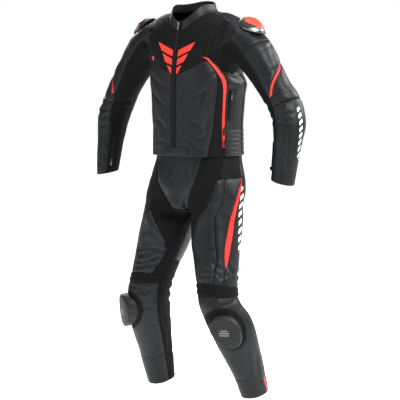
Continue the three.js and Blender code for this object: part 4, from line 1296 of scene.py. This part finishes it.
def zip_teeth(node, out):
    """Two rows of teeth along a zip, on its upper face."""
    path = zip_path(node)
    tree = tree_of([cad_mesh(node)])
    along = lengths_along(path)
    step = sizes().tooth_step
    places, frames = [], []
    for index, stop in enumerate(np.arange(0, along[-1], step / 2)):
        direction = unit(at_stops(stop + step, along, path) - at_stops(stop - step, along, path))
        start = Vector(at_stops(stop, along, path)) + Vector(out) * 0.03
        place, rise, _, _ = tree.ray_cast(start, -Vector(out))
        if place is None:
            continue
        forward, side, rise = axes_on(np.array(rise), direction)
        aside = TOOTH_ASIDE if index % 2 else -TOOTH_ASIDE
        places.append(np.array(place) + side * aside + rise * TOOTH_RISE)
        frames.append([forward, side, rise])
    name = f"{node}_teeth"
    add_piece(name, joined_copies(name, tooth_shape, places, frames), "zip_teeth")


# Operators


class SuitOperator(bpy.types.Operator):
    bl_options = {"REGISTER", "UNDO"}

    def execute(self, context):
        self.build()
        return {"FINISHED"}


# The seams of each garment, kept for the stitching.
SEAMS = {}


class SUIT_OT_jacket(SuitOperator):
    """Make the jacket's leather and stretch cloth pieces"""

    bl_idname = "suit.jacket"
    bl_label = "Jacket Cloth"

    def build(self):
        SEAMS["jacket"] = make_cloth(JACKET)


class SUIT_OT_trousers(SuitOperator):
    """Make the trousers' leather and stretch cloth pieces"""

    bl_idname = "suit.trousers"
    bl_label = "Trouser Cloth"

    def build(self):
        SEAMS["trousers"] = make_cloth(TROUSERS)


class SUIT_OT_stitching(SuitOperator):
    """Sew rows of stitches beside the seams"""

    bl_idname = "suit.stitching"
    bl_label = "Stitching"

    def build(self):
        cloth = tree_of(piece.data for piece in bpy.data.objects if piece.name.endswith("_cloth"))
        for garment, lines in SEAMS.items():
            sew(f"{garment}_stitches", lines, cloth)


class SUIT_OT_zips(SuitOperator):
    """Finish the zip tapes, sliders and pull tabs, and add the teeth"""

    bl_idname = "suit.zips"
    bl_label = "Zips"

    def build(self):
        for node in ["front_zip"] + both("pocket_zip", "wrist_zip"):
            cad_mesh(node).materials[0] = finishes()["zip_tape"]
        zip_teeth("front_zip", (0, -1, 0.15))
        smooth_hard("front_slider", "zip_metal", 0.5 * MM)
        for node in ["front_pull"] + both("pocket_pull", "wrist_pull"):
            smooth_hard(node, "zip_metal", 0.35 * MM, body=body_of_node(node))


class SUIT_OT_armour(SuitOperator):
    """Finish the shoulder cups and plates and the knee sliders"""

    bl_idname = "suit.armour"
    bl_label = "Armour"

    def build(self):
        for side in SIDES:
            cup = smooth_hard(f"shoulder_cup_{side}", "cup_plastic", 1.0 * MM)
            mark_insert(cup.data, f"shoulder_plate_{side}")
            smooth_hard(f"shoulder_plate_{side}", "red_plastic", 0.6 * MM)
            smooth_hard(f"knee_slider_{side}", f"slider_plastic_{side}", 1.6 * MM)
        smooth_hard("waist_tab", "black_leather", 0.6 * MM)


CAMERA = {
    "azimuth": 38.5, "elevation": 5.0, "distance": 6.5, "aim": (0, 0, -0.655), "lens": 160.3,
    "shift": 0.0075,
}
WHITE = (1, 1, 1, 1)
WORLD_LIGHT = 0.2
FLOOR_HALF, FLOOR_DROP = 14, 0.03
# Each light: azimuth, elevation, distance, size and power.
LIGHTS = {
    "key": (78, 40, 3.2, 1.2, 130),
    "fill": (-25, 26, 3.6, 2.2, 40),
    "rim_left": (-120, 35, 3.0, 1.2, 60),
    "rim_right": (150, 30, 3.0, 1.2, 80),
    "top": (20, 82, 2.6, 2.0, 40),
}


def stand(name, data, azimuth, elevation, distance):
    """Puts a light or a camera at an angle round the suit, looking at its middle."""
    turn, lift = math.radians(azimuth), math.radians(elevation)
    back = Vector((math.sin(turn) * math.cos(lift), -math.cos(turn) * math.cos(lift), math.sin(lift)))
    thing = placed(name, data)
    thing.location = Vector(CAMERA["aim"]) + back * distance
    thing.rotation_euler = back.to_track_quat("Z", "Y").to_euler()
    return thing


class SUIT_OT_stage(SuitOperator):
    """Set up the pale floor, the studio light and the camera"""

    bl_idname = "suit.stage"
    bl_label = "Stage"

    def build(self):
        scene = bpy.context.scene
        ground = bmesh.new()
        bmesh.ops.create_grid(ground, x_segments=1, y_segments=1, size=FLOOR_HALF)
        bmesh.ops.translate(ground, vec=(0, 0, cad_low[2] - FLOOR_DROP), verts=ground.verts)
        floor = placed("floor", kept(ground, "floor"))
        glow = {"Emission_Color": WHITE, "Emission_Strength": 1.0}
        paint = Finish("floor_paint", tuple(colours().floor), 0.9, **glow)
        floor.data.materials.append(paint.material)
        world = bpy.data.worlds.new("studio")
        world.use_nodes = True
        light = world.node_tree.nodes["Background"]
        light.inputs["Color"].default_value = WHITE
        light.inputs["Strength"].default_value = WORLD_LIGHT
        shown = world.node_tree.nodes.new("ShaderNodeBackground")
        shown.inputs["Color"].default_value = WHITE
        path = world.node_tree.nodes.new("ShaderNodeLightPath")
        either = world.node_tree.nodes.new("ShaderNodeMixShader")
        links = world.node_tree.links
        links.new(path.outputs["Is Camera Ray"], either.inputs["Fac"])
        links.new(light.outputs[0], either.inputs[1])
        links.new(shown.outputs[0], either.inputs[2])
        links.new(either.outputs[0], world.node_tree.nodes["World Output"].inputs["Surface"])
        scene.world = world
        for name, (azimuth, elevation, distance, size, power) in LIGHTS.items():
            data = bpy.data.lights.new(name, "AREA")
            data.size = size
            data.energy = power
            stand(name, data, azimuth, elevation, distance)
        lens = bpy.data.cameras.new("camera")
        lens.lens = CAMERA["lens"]
        lens.sensor_width = 36
        lens.shift_x = CAMERA["shift"]
        lens.clip_end = 60
        scene.camera = stand("camera", lens, CAMERA["azimuth"], CAMERA["elevation"], CAMERA["distance"])
        scene.view_settings.view_transform = "Standard"


class SUIT_PT_panel(bpy.types.Panel):
    """The suit's sizes, colours and pieces"""

    bl_idname = "SUIT_PT_panel"
    bl_label = "Race Suit"
    bl_space_type = "VIEW_3D"
    bl_region_type = "UI"
    bl_category = "Race Suit"

    def draw(self, context):
        layout = self.layout
        for group in (context.scene.suit_sizes, context.scene.suit_colours):
            box = layout.box()
            for key in group.__annotations__:
                box.prop(group, key)
        for operator in OPERATORS:
            layout.operator(operator.bl_idname)


OPERATORS = (
    SUIT_OT_jacket, SUIT_OT_trousers, SUIT_OT_stitching, SUIT_OT_zips, SUIT_OT_armour, SUIT_OT_stage,
)
CLASSES = (SuitSizes, SuitColours, *OPERATORS, SUIT_PT_panel)


def register():
    for item in CLASSES:
        bpy.utils.register_class(item)
    bpy.types.Scene.suit_sizes = bpy.props.PointerProperty(type=SuitSizes)
    bpy.types.Scene.suit_colours = bpy.props.PointerProperty(type=SuitColours)


def unregister():
    del bpy.types.Scene.suit_colours
    del bpy.types.Scene.suit_sizes
    for item in reversed(CLASSES):
        bpy.utils.unregister_class(item)


def main():
    register()
    for item in OPERATORS:
        group, name = item.bl_idname.split(".")
        getattr(getattr(bpy.ops, group), name)()


if __name__ == "__main__":
    main()
